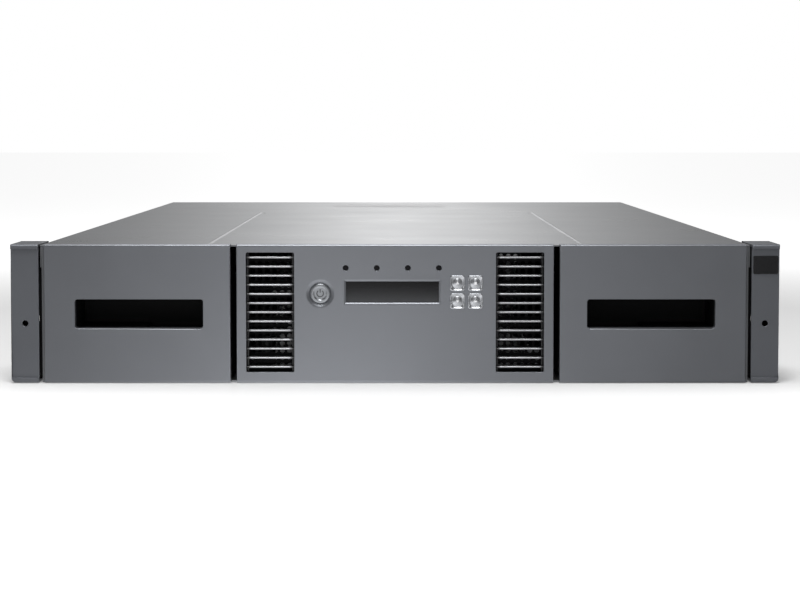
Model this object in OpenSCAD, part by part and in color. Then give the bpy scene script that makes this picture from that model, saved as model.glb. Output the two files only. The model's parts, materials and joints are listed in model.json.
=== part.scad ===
// Rack-mounted data tape library, two rack units high.
// +X is right as seen from the front, -Y is the front and +Z is up.
// The origin is at the middle of the footprint, on the underside of the chassis.

/* [Front] */
// Width of the centre panel
centre_w = 199.2; // [190:0.1:215]
// Gap between the centre panel and each magazine face
mag_gap = 3.8; // [2:0.1:6]
// How much wider a magazine face is than a cartridge is long
face_more = 15; // [14:0.1:20]
// Gap between a magazine face and the side wall
side_gap = 1; // [0.6:0.1:3]
// Depth of the moulded front pieces
front_d = 6; // [5:0.1:9]
// Wall of the moulded front pieces
front_wall = 2.5; // [1.6:0.1:3]
// Height of the front pieces above the cover
front_rise = 0.8; // [0:0.1:2]
// Height of the front pieces above the floor
front_lift = 0.4; // [0.2:0.1:1]
// Radius of the rounded top and bottom front edges
front_r = 1.5; // [0.5:0.1:2.4]
// Radius of the upright front edges
edge_r = 0.8; // [0.3:0.1:1.5]

/* [Ears] */
// Width of an ear
ear_w = 17.4; // [16:0.1:22]
// Gap between an ear and the chassis
ear_gap = 0.3; // [0.1:0.1:1]
// Depth of an ear cap
ear_d = 36; // [24:0.5:50]
// Height of the proud lip at the top of an ear
ear_lip = 3; // [2:0.1:6]
// Depth of the face between the lips
ear_recess = 1.8; // [0.5:0.1:3]
// Radius of the lower outer corner of an ear
ear_corner_r = 3; // [1:0.1:5]
// Wall of an ear cap
ear_wall = 2; // [1.2:0.1:3]
// Thickness of the steel rack flange
flange_t = 2; // [1.5:0.1:3]
// Distance from the outer edge of an ear to the rack hole
rack_hole_in = 8.75; // [6:0.05:9.5]
// Height of the rack hole
rack_hole_z = 37.7; // [20:0.1:60]
// Diameter of the rack hole in the flange
rack_hole_d = 6.6; // [5:0.1:7.2]
// Diameter of the driver hole in an ear cap
driver_hole_d = 3.8; // [3:0.1:7]
// Width of the plain plate on the right ear
plate_w = 15.6; // [8:0.1:16]
// Height of the plain plate
plate_h = 11.4; // [6:0.1:20]
// Thickness of the plain plate
plate_t = 0.8; // [0.4:0.1:1.5]
// Height of the lower edge of the plain plate
plate_z = 68.9; // [45:0.1:70]

/* [Centre panel] */
// Width of a grille opening
grille_w = 30.1; // [24:0.1:34]
// Height of a grille opening
grille_h = 75.4; // [60:0.1:76]
// Height of the lower edge of a grille opening
grille_z = 7.1; // [5:0.1:8]
// Distance from the panel edge to a grille opening
grille_in = 6.1; // [4:0.1:10]
// Number of slats in a grille
slat_count = 13; // [9:1:14]
// Distance from one slat to the next
slat_pitch = 5.75; // [5:0.05:5.8]
// Thickness of a slat
slat_t = 1.2; // [0.8:0.1:2]
// Depth of a slat
slat_d = 11; // [6:0.5:16]
// Distance from the middle of the power button to the display opening
display_left = 14.55; // [13:0.05:20]
// Distance from the display opening to the middle of the keys
display_right = 15.75; // [15:0.05:20]
// Height of the display opening at the face
display_h = 16.4; // [12:0.1:20]
// Height of the middle of the display
display_z = 57.5; // [50:0.1:62]
// Width and depth of the bevel round the display
display_bevel = 1.6; // [0.8:0.1:2]
// Diameter of a status light
light_d = 3.1; // [2:0.1:4]
// Distance from the end of the display opening to an outer status light
light_in = 1.5; // [0:0.1:8]
// Height of the status lights
light_z = 72.8; // [70:0.1:78]
// Distance from the left edge of the panel to the middle of the power button
power_in = 52.6; // [50:0.1:56]
// Diameter of the power button
power_d = 10.8; // [8:0.1:12]
// Diameter of the dish round the power button
power_dish_d = 18.5; // [15:0.1:22]
// Distance from the middle of the four keys to the right edge of the panel
keys_in = 54.8; // [53:0.1:58]
// Distance between keys across
key_pitch_x = 11.2; // [10:0.1:13]
// Distance between keys in height
key_pitch_z = 11.3; // [11:0.1:13]
// Width of a key
key_w = 7.9; // [6:0.1:8.5]
// Height of a key
key_h = 8.4; // [6:0.1:9]
// Gap round each key and the power button
key_gap = 0.5; // [0.3:0.05:0.8]
// How far the keys and the power button stand out
key_proud = 0.6; // [0:0.1:1.5]
// Distance from the front plane to the circuit board
board_in = 13; // [11:0.5:16]
// Thickness of a circuit board
board_t = 1.6; // [1:0.1:2]

/* [Magazines] */
// Size of a cartridge along its insertion
cart_l = 102; // [95:0.1:106]
// Width of a cartridge
cart_w = 105.4; // [95:0.1:110]
// Thickness of a cartridge
cart_h = 21.5; // [18:0.1:23]
// Cartridges in the depth of a magazine
columns = 4; // [2:1:5]
// Cartridges in the height of a magazine
rows = 3; // [3:1:3]
// Free height over each cartridge
cell_head = 0.7; // [0.4:0.1:2]
// Free width beside each cartridge
cell_side = 0.8; // [0.4:0.1:2]
// Thickness of a shelf between rows
shelf_t = 2.2; // [1.5:0.1:3]
// Thickness of a divider between columns
divider_t = 1.8; // [1.2:0.1:3]
// Wall of a magazine
mag_wall = 2.5; // [1.5:0.1:3]
// Height of the ribbed magazine floor
mag_floor = 7.2; // [6:0.1:9]
// Thickness of the magazine roof
mag_roof = 1.8; // [1.2:0.1:3]
// Free height under a magazine
mag_lift = 2.2; // [1.5:0.1:4]
// Free height over a magazine
mag_head = 2.4; // [1:0.1:5]
// Width of the hand grip window
grip_w = 80.5; // [70:0.1:90]
// Height of the hand grip window
grip_h = 18.1; // [15:0.1:24]
// Height of the lower edge of the hand grip window
grip_z = 34.9; // [26:0.1:40]
// Distance from the inner edge of the face to the window
grip_in = 17.2; // [12:0.1:20]
// Radius of the window corners
grip_r = 1.6; // [0.8:0.1:4]
// Width of a magazine guide rail
guide_w = 6; // [4:0.1:9]

/* [Sheet metal] */
// Thickness of the base and rear sheet
sheet_t = 1.2; // [0.8:0.1:2]
// Thickness of the cover sheet
cover_t = 1; // [0.6:0.1:1.6]
// Height of the cover's side lips
cover_lip = 14; // [8:0.5:24]
// Distance of each cover bead from the middle
bead_x = 118; // [100:1:140]
// Length of a cover bead
bead_l = 476; // [300:1:480]
// Width of a cover bead
bead_w = 2.6; // [2:0.1:5]
// Height of a cover bead
bead_h = 0.7; // [0.4:0.1:0.8]

/* [Robot] */
// Depth of the electronics behind the centre panel
panel_zone_d = 24; // [20:0.5:26]
// Clearance round the turning robot
turn_clear = 1; // [0.5:0.1:3]
// Room round a cartridge's corners inside the turning robot
turn_margin = 1.8; // [1.4:0.1:4]
// Distance from a magazine to the axis of the guide rod
rod_in = 9.9; // [8:0.1:14]
// Distance from a magazine to the toothed face of the rack
rack_in = 12; // [8:0.1:16]
// Gear module of the robot's drives
gear_m = 1; // [0.8:0.05:1]
// Backlash between meshing teeth
backlash = 0.3; // [0.2:0.05:0.4]
// Teeth on the travel pinion
travel_teeth = 16; // [14:2:18]
// Teeth on the turning pinion
turn_teeth = 18; // [16:2:18]
// Thickness of the carriage plate
carriage_t = 2; // [1.5:0.1:2.2]
// Thickness of the turntable
turntable_t = 2.2; // [1.8:0.1:2.6]
// Radius of the guide rod
rod_r = 2.5; // [2:0.1:2.5]
// Radius of a lift post
post_r = 2.5; // [2:0.1:3]
// Radius of the lift screw
screw_r = 3; // [2.5:0.1:3.5]
// Wall of the picker's sheet parts
picker_t = 1; // [0.8:0.1:1.2]
// Running clearance of rods and posts in their bores
running_fit = 0.05; // [0.02:0.01:0.1]

/* [Drives and rear] */
// Width of a tape drive
drive_w = 146; // [140:0.1:150]
// Height of a tape drive
drive_h = 41.3; // [38:0.1:41.3]
// Length of a tape drive
drive_l = 208; // [180:1:215]
// Depth from a tape drive's rear end to the rear panel
sled_back_d = 32; // [30:1:70]
// Width of the power supply
psu_w = 106; // [90:1:120]
// Height of the power supply
psu_h = 40; // [38:0.5:44]
// Length of the power supply
psu_l = 205; // [150:1:220]
// Radius of a fan rotor
fan_r = 17; // [14:0.1:18]
// Clearance round a fan rotor
fan_clear = 0.8; // [0.4:0.1:1]
// How far the handles stand out behind
handle_d = 16; // [12:0.5:24]

/* [Hidden] */

eps = 0.01;
over = 1;
round_fn = 64;

// Plan of the front: the magazines stand beside the centre panel, the walls beside the magazines.
face_w = cart_l + face_more;
face_x0 = centre_w / 2 + mag_gap;
face_x1 = face_x0 + face_w;
tray_inset = 0.5;
tray_x0 = face_x0 + tray_inset;
tray_x1 = face_x1 - tray_inset;
wall_x0 = face_x1 + side_gap;
wall_x1 = wall_x0 + sheet_t;
half_w = wall_x1 + cover_t;
ear_x0 = half_w + ear_gap;
ear_x1 = ear_x0 + ear_w;
hole_x = ear_x1 - rack_hole_in;

// Heights, from the base sheet up.
mag_z0 = sheet_t + mag_lift;
cell_z0 = mag_z0 + mag_floor;
cell_h = cart_h + cell_head;
cell_pitch_z = cell_h + shelf_t;
mag_z1 = cell_z0 + rows * cell_pitch_z - shelf_t + mag_roof;
cover_z0 = mag_z1 + mag_head;
cover_z1 = cover_z0 + cover_t;
front_z1 = cover_z1 + front_rise;

// Depths, from the front plane back.
cell_d = cart_w + cell_side;
cell_pitch_y = cell_d + divider_t;
turn_r = norm([cart_w / 2, cart_l / 2]) + turn_margin;
first_col = panel_zone_d + turn_clear + turn_r;
cell_y0 = first_col - cell_d / 2;
mag_y1 = cell_y0 + columns * cell_pitch_y;
last_col = first_col + (columns - 1) * cell_pitch_y;
drive_y = last_col + turn_r + turn_clear;
chassis_d = drive_y + drive_l + sled_back_d;
front_y = key_proud - (key_proud + chassis_d + handle_d) / 2;
rear_y = front_y + chassis_d;
robot_y = front_y + first_col;

// Places across the centre panel, from its two edges inwards.
power_x = -centre_w / 2 + power_in;
keys_x = centre_w / 2 - keys_in;
display_w = keys_x - display_right - power_x - display_left;
display_x = power_x + display_left + display_w / 2;
light_count = 4;
light_pitch = (display_w - 2 * light_in) / (light_count - 1);
light_xs = [for (i = [0 : light_count - 1]) display_x + (i - (light_count - 1) / 2) * light_pitch];

// Robot levels, all under the lowest cartridge.
rod_z = sheet_t + 3.8;
rod_x = tray_x0 - rod_in;
carriage_z0 = sheet_t + 1.2;
turntable_z0 = carriage_z0 + carriage_t + 0.3;
turntable_z1 = turntable_z0 + turntable_t;
reach_t = 0.8;
picker_z0 = cell_z0 - reach_t - picker_t - 0.4;
turntable_teeth = floor(2 * (turn_r - 1) / gear_m / 2) * 2;
turntable_r = turntable_teeth * gear_m / 2;
travel_r = travel_teeth * gear_m / 2;
turn_pinion_r = turn_teeth * gear_m / 2;
mesh_gap = 0.12;
rack_x1 = -tray_x0 + rack_in;
pinion_x = rack_x1 + travel_r + mesh_gap;
pinion_dy = -turn_r + 9;
turn_dy = -turn_r + 10.5;
turn_dx = sqrt(pow(turntable_r + turn_pinion_r + mesh_gap, 2) - turn_dy * turn_dy);
turn_angle = atan2(turn_dy, turn_dx);
motor_r = 6.5;
motor_z0 = turntable_z1 + 1.9;
motor_h = 18;
post_x = cart_w / 2 + 11.5;
post_dy = 15;
lug_h = 8;
lug_r = 4.5;
carriage_hole_r = 12;
turntable_hole_r = 14;
cart_front = cart_l / 2 + 0.5;

// Drives stand over each other between the walls of the bay.
drive_gap = 0.3;
lower_z = sheet_t + drive_gap;
upper_z = lower_z + drive_h + drive_gap;
sled_side_t = 1;
sled_x = drive_w / 2 + 0.4 + sled_side_t;
runner_w = 2.2;
bay_x = sled_x + runner_w + 0.6;
bay_t = 1;
runner_dz = 20;
psu_x = (bay_x + bay_t + wall_x0) / 2;
psu_z = sheet_t;
card_x = -psu_x;
card_z = 8;
fan_depth = 12;

// A flat outline in X and Z, drawn out from y0 to y1.
module along_y(y0, y1) {
    translate([0, y1, 0])
        rotate([90, 0, 0])
            linear_extrude(y1 - y0)
                children();
}

// A flat outline in Y and Z, drawn out from x0 to x1.
module along_x(x0, x1) {
    translate([x0, 0, 0])
        rotate([90, 0, 90])
            linear_extrude(x1 - x0)
                children();
}

// A flat outline in X and Y, drawn out from z0 to z1.
module along_z(z0, z1) {
    translate([0, 0, z0])
        linear_extrude(z1 - z0)
            children();
}

module box(x0, x1, y0, y1, z0, z1) {
    translate([x0, y0, z0])
        cube([x1 - x0, y1 - y0, z1 - z0]);
}

module rect(x0, x1, z0, z1) {
    translate([x0, z0])
        square([x1 - x0, z1 - z0]);
}

// A rectangle with round corners.
module round_rect(x0, x1, z0, z1, r) {
    rect(x0 + r, x1 - r, z0, z1);
    rect(x0, x1, z0 + r, z1 - r);
    for (x = [x0 + r, x1 - r], z = [z0 + r, z1 - r])
        translate([x, z])
            circle(r, $fn = round_fn);
}

module rod_y(r, y0, y1) {
    translate([0, y1, 0])
        rotate([90, 0, 0])
            cylinder(r = r, h = y1 - y0, $fn = round_fn);
}

module rod_x_axis(r, x0, x1) {
    translate([x0, 0, 0])
        rotate([0, 90, 0])
            cylinder(r = r, h = x1 - x0, $fn = round_fn);
}

// Waste outside a rounded edge whose corner is at the origin, with the piece in +x and +y.
module corner_waste(r) {
    difference() {
        translate([-over, -over])
            square(r + over);
        translate([r, r])
            circle(r, $fn = round_fn);
    }
}

// A box for the front, with its top and bottom front edges rounded along X.
module front_block(x0, x1, depth) {
    difference() {
        box(x0, x1, front_y, front_y + depth, front_lift, front_z1);
        translate([0, front_y, front_lift])
            along_x(x0 - over, x1 + over)
                corner_waste(front_r);
        translate([0, front_y, front_z1])
            mirror([0, 0, 1])
                along_x(x0 - over, x1 + over)
                    corner_waste(front_r);
        translate([x0, front_y, 0])
            along_z(front_lift - over, front_z1 + over)
                corner_waste(edge_r);
        translate([x1, front_y, 0])
            mirror([1, 0, 0])
                along_z(front_lift - over, front_z1 + over)
                    corner_waste(edge_r);
    }
}

// The right-hand pieces are drawn, and the left-hand ones are their mirror images.
module left() {
    mirror([1, 0, 0])
        children();
}

// A screw with a flush head, its axis along +X into the sheet and its head's face at x = 0.
flush_head_r = 2.8;
flush_shank_r = 1.4;
module flush_screw(head_t, length) {
    rotate([0, 90, 0])
        cylinder(r1 = flush_head_r, r2 = flush_shank_r, h = head_t, $fn = round_fn);
    rod_x_axis(flush_shank_r, 0, length);
}

module flush_hole(head_t, length) {
    rotate([0, 90, 0])
        cylinder(r1 = flush_head_r + 0.1, r2 = flush_shank_r + 0.1, h = head_t, $fn = round_fn);
    rod_x_axis(flush_shank_r + 0.1, -over, length);
}

// A pan-headed screw, its axis along -Y and the underside of its head at y = 0.
pan_r = 3;
pan_h = 1.6;
pan_shank_r = 1.4;
pan_shank = 3;
module pan_screw() {
    difference() {
        rod_y(pan_r, 0, pan_h);
        box(-0.4, 0.4, pan_h - 0.8, pan_h + over, -pan_r, pan_r);
    }
    rod_y(pan_shank_r, -pan_shank, 0.5);
}

// Teeth of a spur gear with straight flanks.
function arc_point(r, a) = [r * cos(a), r * sin(a)];
flank = tan(20);
function tooth_half(shift) = PI * gear_m / 4 - backlash / 4 - shift * flank;
tooth_out = 0.9 * gear_m;
tooth_in = 1.2 * gear_m;
function half_angle(r, half) = half / r * 180 / PI;
module gear_outline(teeth) {
    r = teeth * gear_m / 2;
    a_root = half_angle(r - tooth_in, tooth_half(-tooth_in));
    a_tip = half_angle(r + tooth_out, tooth_half(tooth_out));
    polygon([
        for (i = [0 : teeth - 1], p = [
            [r - tooth_in, -a_root], [r + tooth_out, -a_tip],
            [r + tooth_out, a_tip], [r - tooth_in, a_root]
        ]) arc_point(p[0], i * 360 / teeth + p[1])
    ]);
}

// Slots of a fan guard between two radii, cut by four spokes.
module guard_slots(r) {
    for (ring = [r * 0.42, r * 0.62, r * 0.82])
        difference() {
            circle(ring + 1.3, $fn = round_fn);
            circle(ring - 1.3, $fn = round_fn);
            for (a = [45, 135])
                rotate(a)
                    square([2 * r + 6, 2.2], center = true);
        }
}

// A rotor with pitched blades, turning about Y, with its middle at the origin.
blade_count = 7;
fan_hub_r = 7.5;
fan_pin_r = 1.5;
rotor_d = fan_depth - 4;
module fan_rotor() {
    difference() {
        union() {
            rod_y(fan_hub_r, -rotor_d / 2, rotor_d / 2);
            intersection() {
                for (i = [0 : blade_count - 1])
                    rotate([0, i * 360 / blade_count, 0])
                        translate([0, 0, (fan_hub_r + fan_r) / 2])
                            rotate([0, 0, 40])
                                cube([fan_hub_r * 1.1, 1, fan_r - fan_hub_r + 2], center = true);
                rod_y(fan_r, -rotor_d / 2, rotor_d / 2);
            }
        }
        rod_y(fan_pin_r + running_fit, -rotor_d, rotor_d / 2 - 2);
    }
}

// The spider that carries a rotor from its inner side, on the same axis.
module fan_stator() {
    rod_y(fan_hub_r - 1, -fan_depth / 2, -fan_depth / 2 + 1.6);
    rod_y(fan_pin_r, -fan_depth / 2, rotor_d / 2 - 2.4);
    along_y(-fan_depth / 2, -fan_depth / 2 + 1.6)
        intersection() {
            for (a = [90, 210, 330])
                rotate(a)
                    rect(0, fan_r + 2, -1, 1);
            circle(fan_r + 2, $fn = round_fn);
        }
}

// Chassis sheet metal.
flange_in = 10;
side_screw_in = 60;
side_screw_y = [ear_d + 8, chassis_d / 2, chassis_d - side_screw_in];
side_screw_hole_l = 5;
air_slot_w = 60;
air_slot_h = 4;
air_slot_pitch = 12;
air_slot_in = 60;
air_slot_count = 8;
module base_tray() {
    color([0.42, 0.43, 0.45])
        difference() {
            along_y(front_y + front_d, rear_y)
                difference() {
                    rect(-wall_x1, wall_x1, 0, cover_z0);
                    rect(-wall_x0, wall_x0, sheet_t, cover_z0 - sheet_t);
                    rect(-wall_x0 + flange_in, wall_x0 - flange_in, sheet_t, cover_z0 + over);
                }
            // The inward flanges stop short of the magazines' way in.
            box(-wall_x0, wall_x0, front_y, front_y + front_d + 4, sheet_t, cover_z0 + over);
            // Slots for the flow of air under the power supply and the card.
            for (side = [-1, 1], i = [0 : air_slot_count - 1])
                translate([side * psu_x, rear_y - air_slot_in - i * air_slot_pitch, 0])
                    along_z(-over, sheet_t + over)
                        round_rect(-air_slot_w / 2, air_slot_w / 2, -air_slot_h / 2, air_slot_h / 2,
                            air_slot_h / 2 - eps);
            for (side = [-1, 1], y = side_screw_y)
                translate([side * half_w, front_y + y, cover_z1 - cover_lip / 2])
                    mirror([side > 0 ? 1 : 0, 0, 0])
                        flush_hole(cover_t, side_screw_hole_l);
            for (side = [-1, 1], z = flange_screw_z)
                translate([side * wall_x1, front_y + flange_screw_in, z])
                    rod_x_axis(pan_shank_r + 0.1, -2 * sheet_t, 2 * sheet_t);
        }
}

cover_y0 = front_y + front_d;
notch_l = 5;
notch_w = 5;
module top_cover() {
    color([0.62, 0.63, 0.65])
        difference() {
            union() {
                along_y(cover_y0, rear_y)
                    difference() {
                        rect(-half_w, half_w, cover_z1 - cover_lip, cover_z1);
                        rect(-wall_x1, wall_x1, cover_z1 - cover_lip - over, cover_z0);
                    }
                for (side = [-1, 1])
                    along_y(cover_y0, cover_y0 + bead_l)
                        translate([side * bead_x, cover_z1])
                            polygon([
                                [-bead_w / 2, -eps], [bead_w / 2, -eps],
                                [bead_w / 4, bead_h], [-bead_w / 4, bead_h]
                            ]);
            }
            // A bent notch where each bead ends.
            for (side = [-1, 1])
                translate([side * (bead_x - bead_w), cover_y0 + bead_l, 0])
                    along_z(cover_z0 - over, cover_z1 + over)
                        polygon([[-side * notch_w / 2, 0], [side * notch_w / 2, 0], [0, notch_l]]);
            for (side = [-1, 1], y = side_screw_y)
                translate([side * half_w, front_y + y, cover_z1 - cover_lip / 2])
                    mirror([side > 0 ? 1 : 0, 0, 0])
                        flush_hole(cover_t, side_screw_hole_l);
        }
}

// Round air holes that fill a field of a given width and height.
vent_pitch = 6;
vent_r = 2;
module vent_field(w, h) {
    across = floor(w / vent_pitch) - 1;
    up = floor(h / vent_pitch) - 1;
    for (i = [0 : across], j = [0 : up])
        translate([(i - across / 2) * vent_pitch, (j - up / 2) * vent_pitch])
            circle(vent_r, $fn = 16);
}

rear_fit = 0.4;
vent_edge = 4;
module rear_panel() {
    psu_top = psu_z + psu_h + psu_flange;
    vent_w = psu_w - 2 * vent_edge;
    color([0.55, 0.56, 0.58])
        difference() {
            union() {
                along_y(rear_y - sheet_t, rear_y)
                    rect(-wall_x0, wall_x0, sheet_t, cover_z0);
                along_y(rear_y - flange_in, rear_y)
                    rect(-wall_x0, wall_x0, cover_z0 - sheet_t, cover_z0);
            }
            box(-bay_x, bay_x, rear_y - 2 * sheet_t, rear_y + over,
                sheet_t - over, cover_z0 - sheet_t);
            // The inward flanges of the walls pass here.
            for (side = [-1, 1])
                translate([side * (wall_x0 - flange_in / 2), 0, 0])
                    box(-flange_in / 2 - 0.2, flange_in / 2 + 0.2, rear_y - flange_in - over,
                        rear_y + over, cover_z0 - sheet_t - 0.2, cover_z0 + over);
            box(psu_x - psu_w / 2 - rear_fit, psu_x + psu_w / 2 + rear_fit,
                rear_y - 2 * sheet_t, rear_y + over,
                sheet_t - over, psu_z + psu_h + rear_fit);
            for (field = [[psu_x, psu_top], [card_x, card_plate_h]])
                translate([field[0], 0, (field[1] + cover_z0) / 2])
                    along_y(rear_y - 2 * sheet_t, rear_y + over)
                        vent_field(vent_w, cover_z0 - field[1] - 2 * vent_edge);
            box(card_x - card_w / 2 + vent_edge, card_x + card_w / 2 - vent_edge,
                rear_y - 2 * sheet_t, rear_y + over,
                sheet_t + 3, card_plate_h - 3);
            for (p = rear_screw_points)
                translate([p[0], 0, p[1]])
                    rod_y(pan_shank_r + 0.1, rear_y - 2 * sheet_t, rear_y + over);
        }
}

// Rack flanges and the moulded ears in front of them.
flange_screw_in = 20;
flange_screw_z = [18, 46, 66];
module right_flange() {
    color([0.25, 0.25, 0.26])
        difference() {
            union() {
                box(half_w, ear_x1, front_y + ear_d, front_y + ear_d + flange_t,
                    front_lift, front_z1);
                box(wall_x1, wall_x1 + flange_t, front_y + 8, front_y + ear_d + flange_t,
                    front_lift + ear_wall + 1, cover_z1 - cover_lip - 0.3);
            }
            translate([hole_x, 0, rack_hole_z])
                rod_y(rack_hole_d / 2, front_y + ear_d - over, front_y + ear_d + flange_t + over);
            for (z = flange_screw_z)
                translate([wall_x1, front_y + flange_screw_in, z])
                    rod_x_axis(pan_shank_r + 0.1, -over, flange_t + over);
        }
}

ear_foot = 3.2;
module right_ear() {
    recess_z0 = front_lift + ear_foot;
    recess_z1 = front_z1 - ear_lip;
    color([0.40, 0.41, 0.43])
        difference() {
            front_block(ear_x0, ear_x1, ear_d);
            box(ear_x0 - over, ear_x1 + over, front_y - over, front_y + ear_recess,
                recess_z0, recess_z1);
            // Inside, open behind and towards the chassis.
            box(ear_x0 - over, ear_x1 - ear_wall, front_y + ear_recess + ear_wall,
                front_y + ear_d + over, front_lift + ear_wall, front_z1 - ear_wall);
            translate([ear_x1, 0, front_lift])
                mirror([1, 0, 0])
                    along_y(front_y - over, front_y + ear_d + over)
                        corner_waste(ear_corner_r);
            translate([hole_x, 0, rack_hole_z])
                rod_y(driver_hole_d / 2, front_y - over, front_y + ear_recess + 2 * ear_wall);
        }
}

module ear_plate() {
    color([0.06, 0.06, 0.07])
        translate([(ear_x0 + ear_x1) / 2, 0, plate_z])
            along_y(front_y + ear_recess - plate_t, front_y + ear_recess)
                round_rect(-plate_w / 2, plate_w / 2, 0, plate_h, 0.8);
}

// Centre panel and what it holds.
grille_x = centre_w / 2 - grille_in - grille_w / 2;
power_z = display_z - 0.8;
key_points = [for (i = [-1, 1], j = [1, -1])
    [keys_x + i * key_pitch_x / 2, display_z + j * key_pitch_z / 2]];
board_z0 = 10;
board_z1 = 80;
board_side = 4.4;
board_w = centre_w - 2 * (grille_in + grille_w + board_side);
boss_points = [for (x = [-board_w / 2 + 5, board_w / 2 - 5], z = [board_z0 + 6, board_z0 + 30])
    [x, z]];
boss_r = 3;
light_sink = 0.5;
screw_pilot_r = 1.2;
dish_d = 1.6;

// A rectangular opening that narrows as it goes in.
module tapered_opening(w, h, bevel) {
    intersection() {
        along_x(-w / 2, w / 2)
            polygon([
                [-eps, -h / 2], [bevel, -h / 2 + bevel],
                [bevel, h / 2 - bevel], [-eps, h / 2]
            ]);
        along_z(-h / 2, h / 2)
            polygon([
                [-w / 2, -eps], [w / 2, -eps],
                [w / 2 - bevel, bevel], [-w / 2 + bevel, bevel]
            ]);
    }
}

module front_bezel() {
    color([0.45, 0.46, 0.48])
        difference() {
            union() {
                difference() {
                    front_block(-centre_w / 2, centre_w / 2, front_d);
                    box(-centre_w / 2 + front_wall, centre_w / 2 - front_wall,
                        front_y + front_wall, front_y + front_d + over,
                        front_lift + front_wall, front_z1 - front_wall);
                }
                for (p = boss_points)
                    translate([p[0], 0, p[1]])
                        rod_y(boss_r, front_y + front_wall - eps, front_y + board_in);
                // Rim behind the display.
                along_y(front_y + front_wall - eps, front_y + front_d)
                    translate([display_x, display_z])
                        difference() {
                            rect(-display_w / 2 - 1, display_w / 2 + 1,
                                -display_h / 2 - 1, display_h / 2 + 1);
                            rect(-display_w / 2 + 0.5, display_w / 2 - 0.5,
                                -display_h / 2 + 0.5, display_h / 2 - 0.5);
                        }
            }
            for (side = [-1, 1])
                translate([side * grille_x, 0, 0])
                    along_y(front_y - over, front_y + front_d + over)
                        round_rect(-grille_w / 2, grille_w / 2, grille_z, grille_z + grille_h, 1);
            translate([display_x, front_y, display_z])
                tapered_opening(display_w, display_h, display_bevel);
            box(display_x - display_w / 2 + display_bevel, display_x + display_w / 2 - display_bevel,
                front_y + display_bevel - eps, front_y + front_wall + over,
                display_z - display_h / 2 + display_bevel, display_z + display_h / 2 - display_bevel);
            for (x = light_xs)
                translate([x, front_y, light_z]) {
                    rod_y(light_d / 2 + 0.1, -over, front_wall + over);
                    rotate([-90, 0, 0])
                        cylinder(r1 = light_d / 2 + light_sink, r2 = light_d / 2, h = light_sink,
                            $fn = round_fn);
                }
            translate([power_x, front_y, power_z])
                rotate([-90, 0, 0])
                    cylinder(r1 = power_dish_d / 2, r2 = power_d / 2 + key_gap, h = dish_d,
                        $fn = round_fn);
            translate([power_x, 0, power_z])
                rod_y(power_d / 2 + key_gap, front_y - over, front_y + front_wall + over);
            for (p = key_points)
                translate([p[0], 0, p[1]])
                    along_y(front_y - over, front_y + front_wall + over)
                        round_rect(-key_w / 2 - key_gap, key_w / 2 + key_gap,
                            -key_h / 2 - key_gap, key_h / 2 + key_gap, 0.8);
            for (p = boss_points)
                translate([p[0], 0, p[1]])
                    rod_y(screw_pilot_r, front_y + front_wall + 1, front_y + board_in + over);
        }
}

grille_fit = 0.1;
grille_set = 0.4;
grille_post_w = 1.4;
module right_grille() {
    y0 = front_y + grille_set;
    half = grille_w / 2 - grille_fit;
    first_z = grille_z + grille_h / 2 - (slat_count - 1) / 2 * slat_pitch;
    color([0.50, 0.51, 0.53])
        translate([grille_x, 0, 0]) {
            for (i = [0 : slat_count - 1])
                translate([0, 0, first_z + i * slat_pitch])
                    along_x(-half, half) {
                        translate([y0 + slat_t / 2, 0])
                            circle(slat_t / 2, $fn = round_fn);
                        translate([y0 + slat_t / 2, -slat_t / 2])
                            square([slat_d - slat_t / 2, slat_t]);
                    }
            for (side = [-1, 1])
                translate([side * (half - grille_post_w / 2), 0, 0])
                    box(-grille_post_w / 2, grille_post_w / 2, y0 + 3, y0 + slat_d,
                        grille_z + grille_fit, grille_z + grille_h - grille_fit);
        }
}

// Perforated plates behind the grilles, standing on the base.
shield_t = 0.8;
shield_hole_r = 1.6;
shield_pitch = 4.6;
shield_edge = 2;
shield_foot = 5;
module grille_shields() {
    y0 = front_y + grille_set + slat_d + 0.3;
    half = grille_w / 2 + shield_edge;
    across = floor((grille_w - shield_pitch) / shield_pitch);
    up = floor((grille_h - shield_pitch) / shield_pitch);
    color([0.07, 0.07, 0.08])
        for (side = [-1, 1])
            translate([side * grille_x, 0, 0])
                difference() {
                    union() {
                        along_y(y0, y0 + shield_t)
                            rect(-half, half, sheet_t, cover_z0 - 1);
                        box(-half, half, y0, y0 + shield_foot, sheet_t, sheet_t + shield_t);
                    }
                    translate([0, 0, grille_z + grille_h / 2])
                        along_y(y0 - over, y0 + shield_t + over)
                            for (i = [0 : across], j = [0 : up])
                                translate([(i - across / 2) * shield_pitch, (j - up / 2) * shield_pitch])
                                    circle(shield_hole_r, $fn = 16);
                }
}

window_t = 1.2;
window_y = front_wall;
module display_window() {
    color([0.10, 0.11, 0.12, 0.8])
        translate([display_x, 0, display_z])
            along_y(front_y + window_y, front_y + window_y + window_t)
                rect(-display_w / 2 + 0.7, display_w / 2 - 0.7,
                    -display_h / 2 + 0.7, display_h / 2 - 0.7);
}

module display_module() {
    color([0.12, 0.13, 0.14])
        translate([display_x, 0, display_z]) {
            along_y(front_y + front_d + 0.3, front_y + board_in)
                rect(-display_w / 2 - 2, display_w / 2 + 2, -display_h / 2 - 1.5, display_h / 2 + 1.5);
            along_y(front_y + window_y + window_t, front_y + front_d + 0.4)
                rect(-display_w / 2 + 1, display_w / 2 - 1, -display_h / 2 + 1, display_h / 2 - 1);
        }
}

module status_lights() {
    color([0.10, 0.10, 0.11])
        for (x = light_xs)
            translate([x, 0, light_z]) {
                rod_y(light_d / 2, front_y + light_sink, front_y + board_in);
                rod_y(light_d / 2 + 0.8, front_y + front_wall, front_y + front_wall + 1.5);
            }
}

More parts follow.
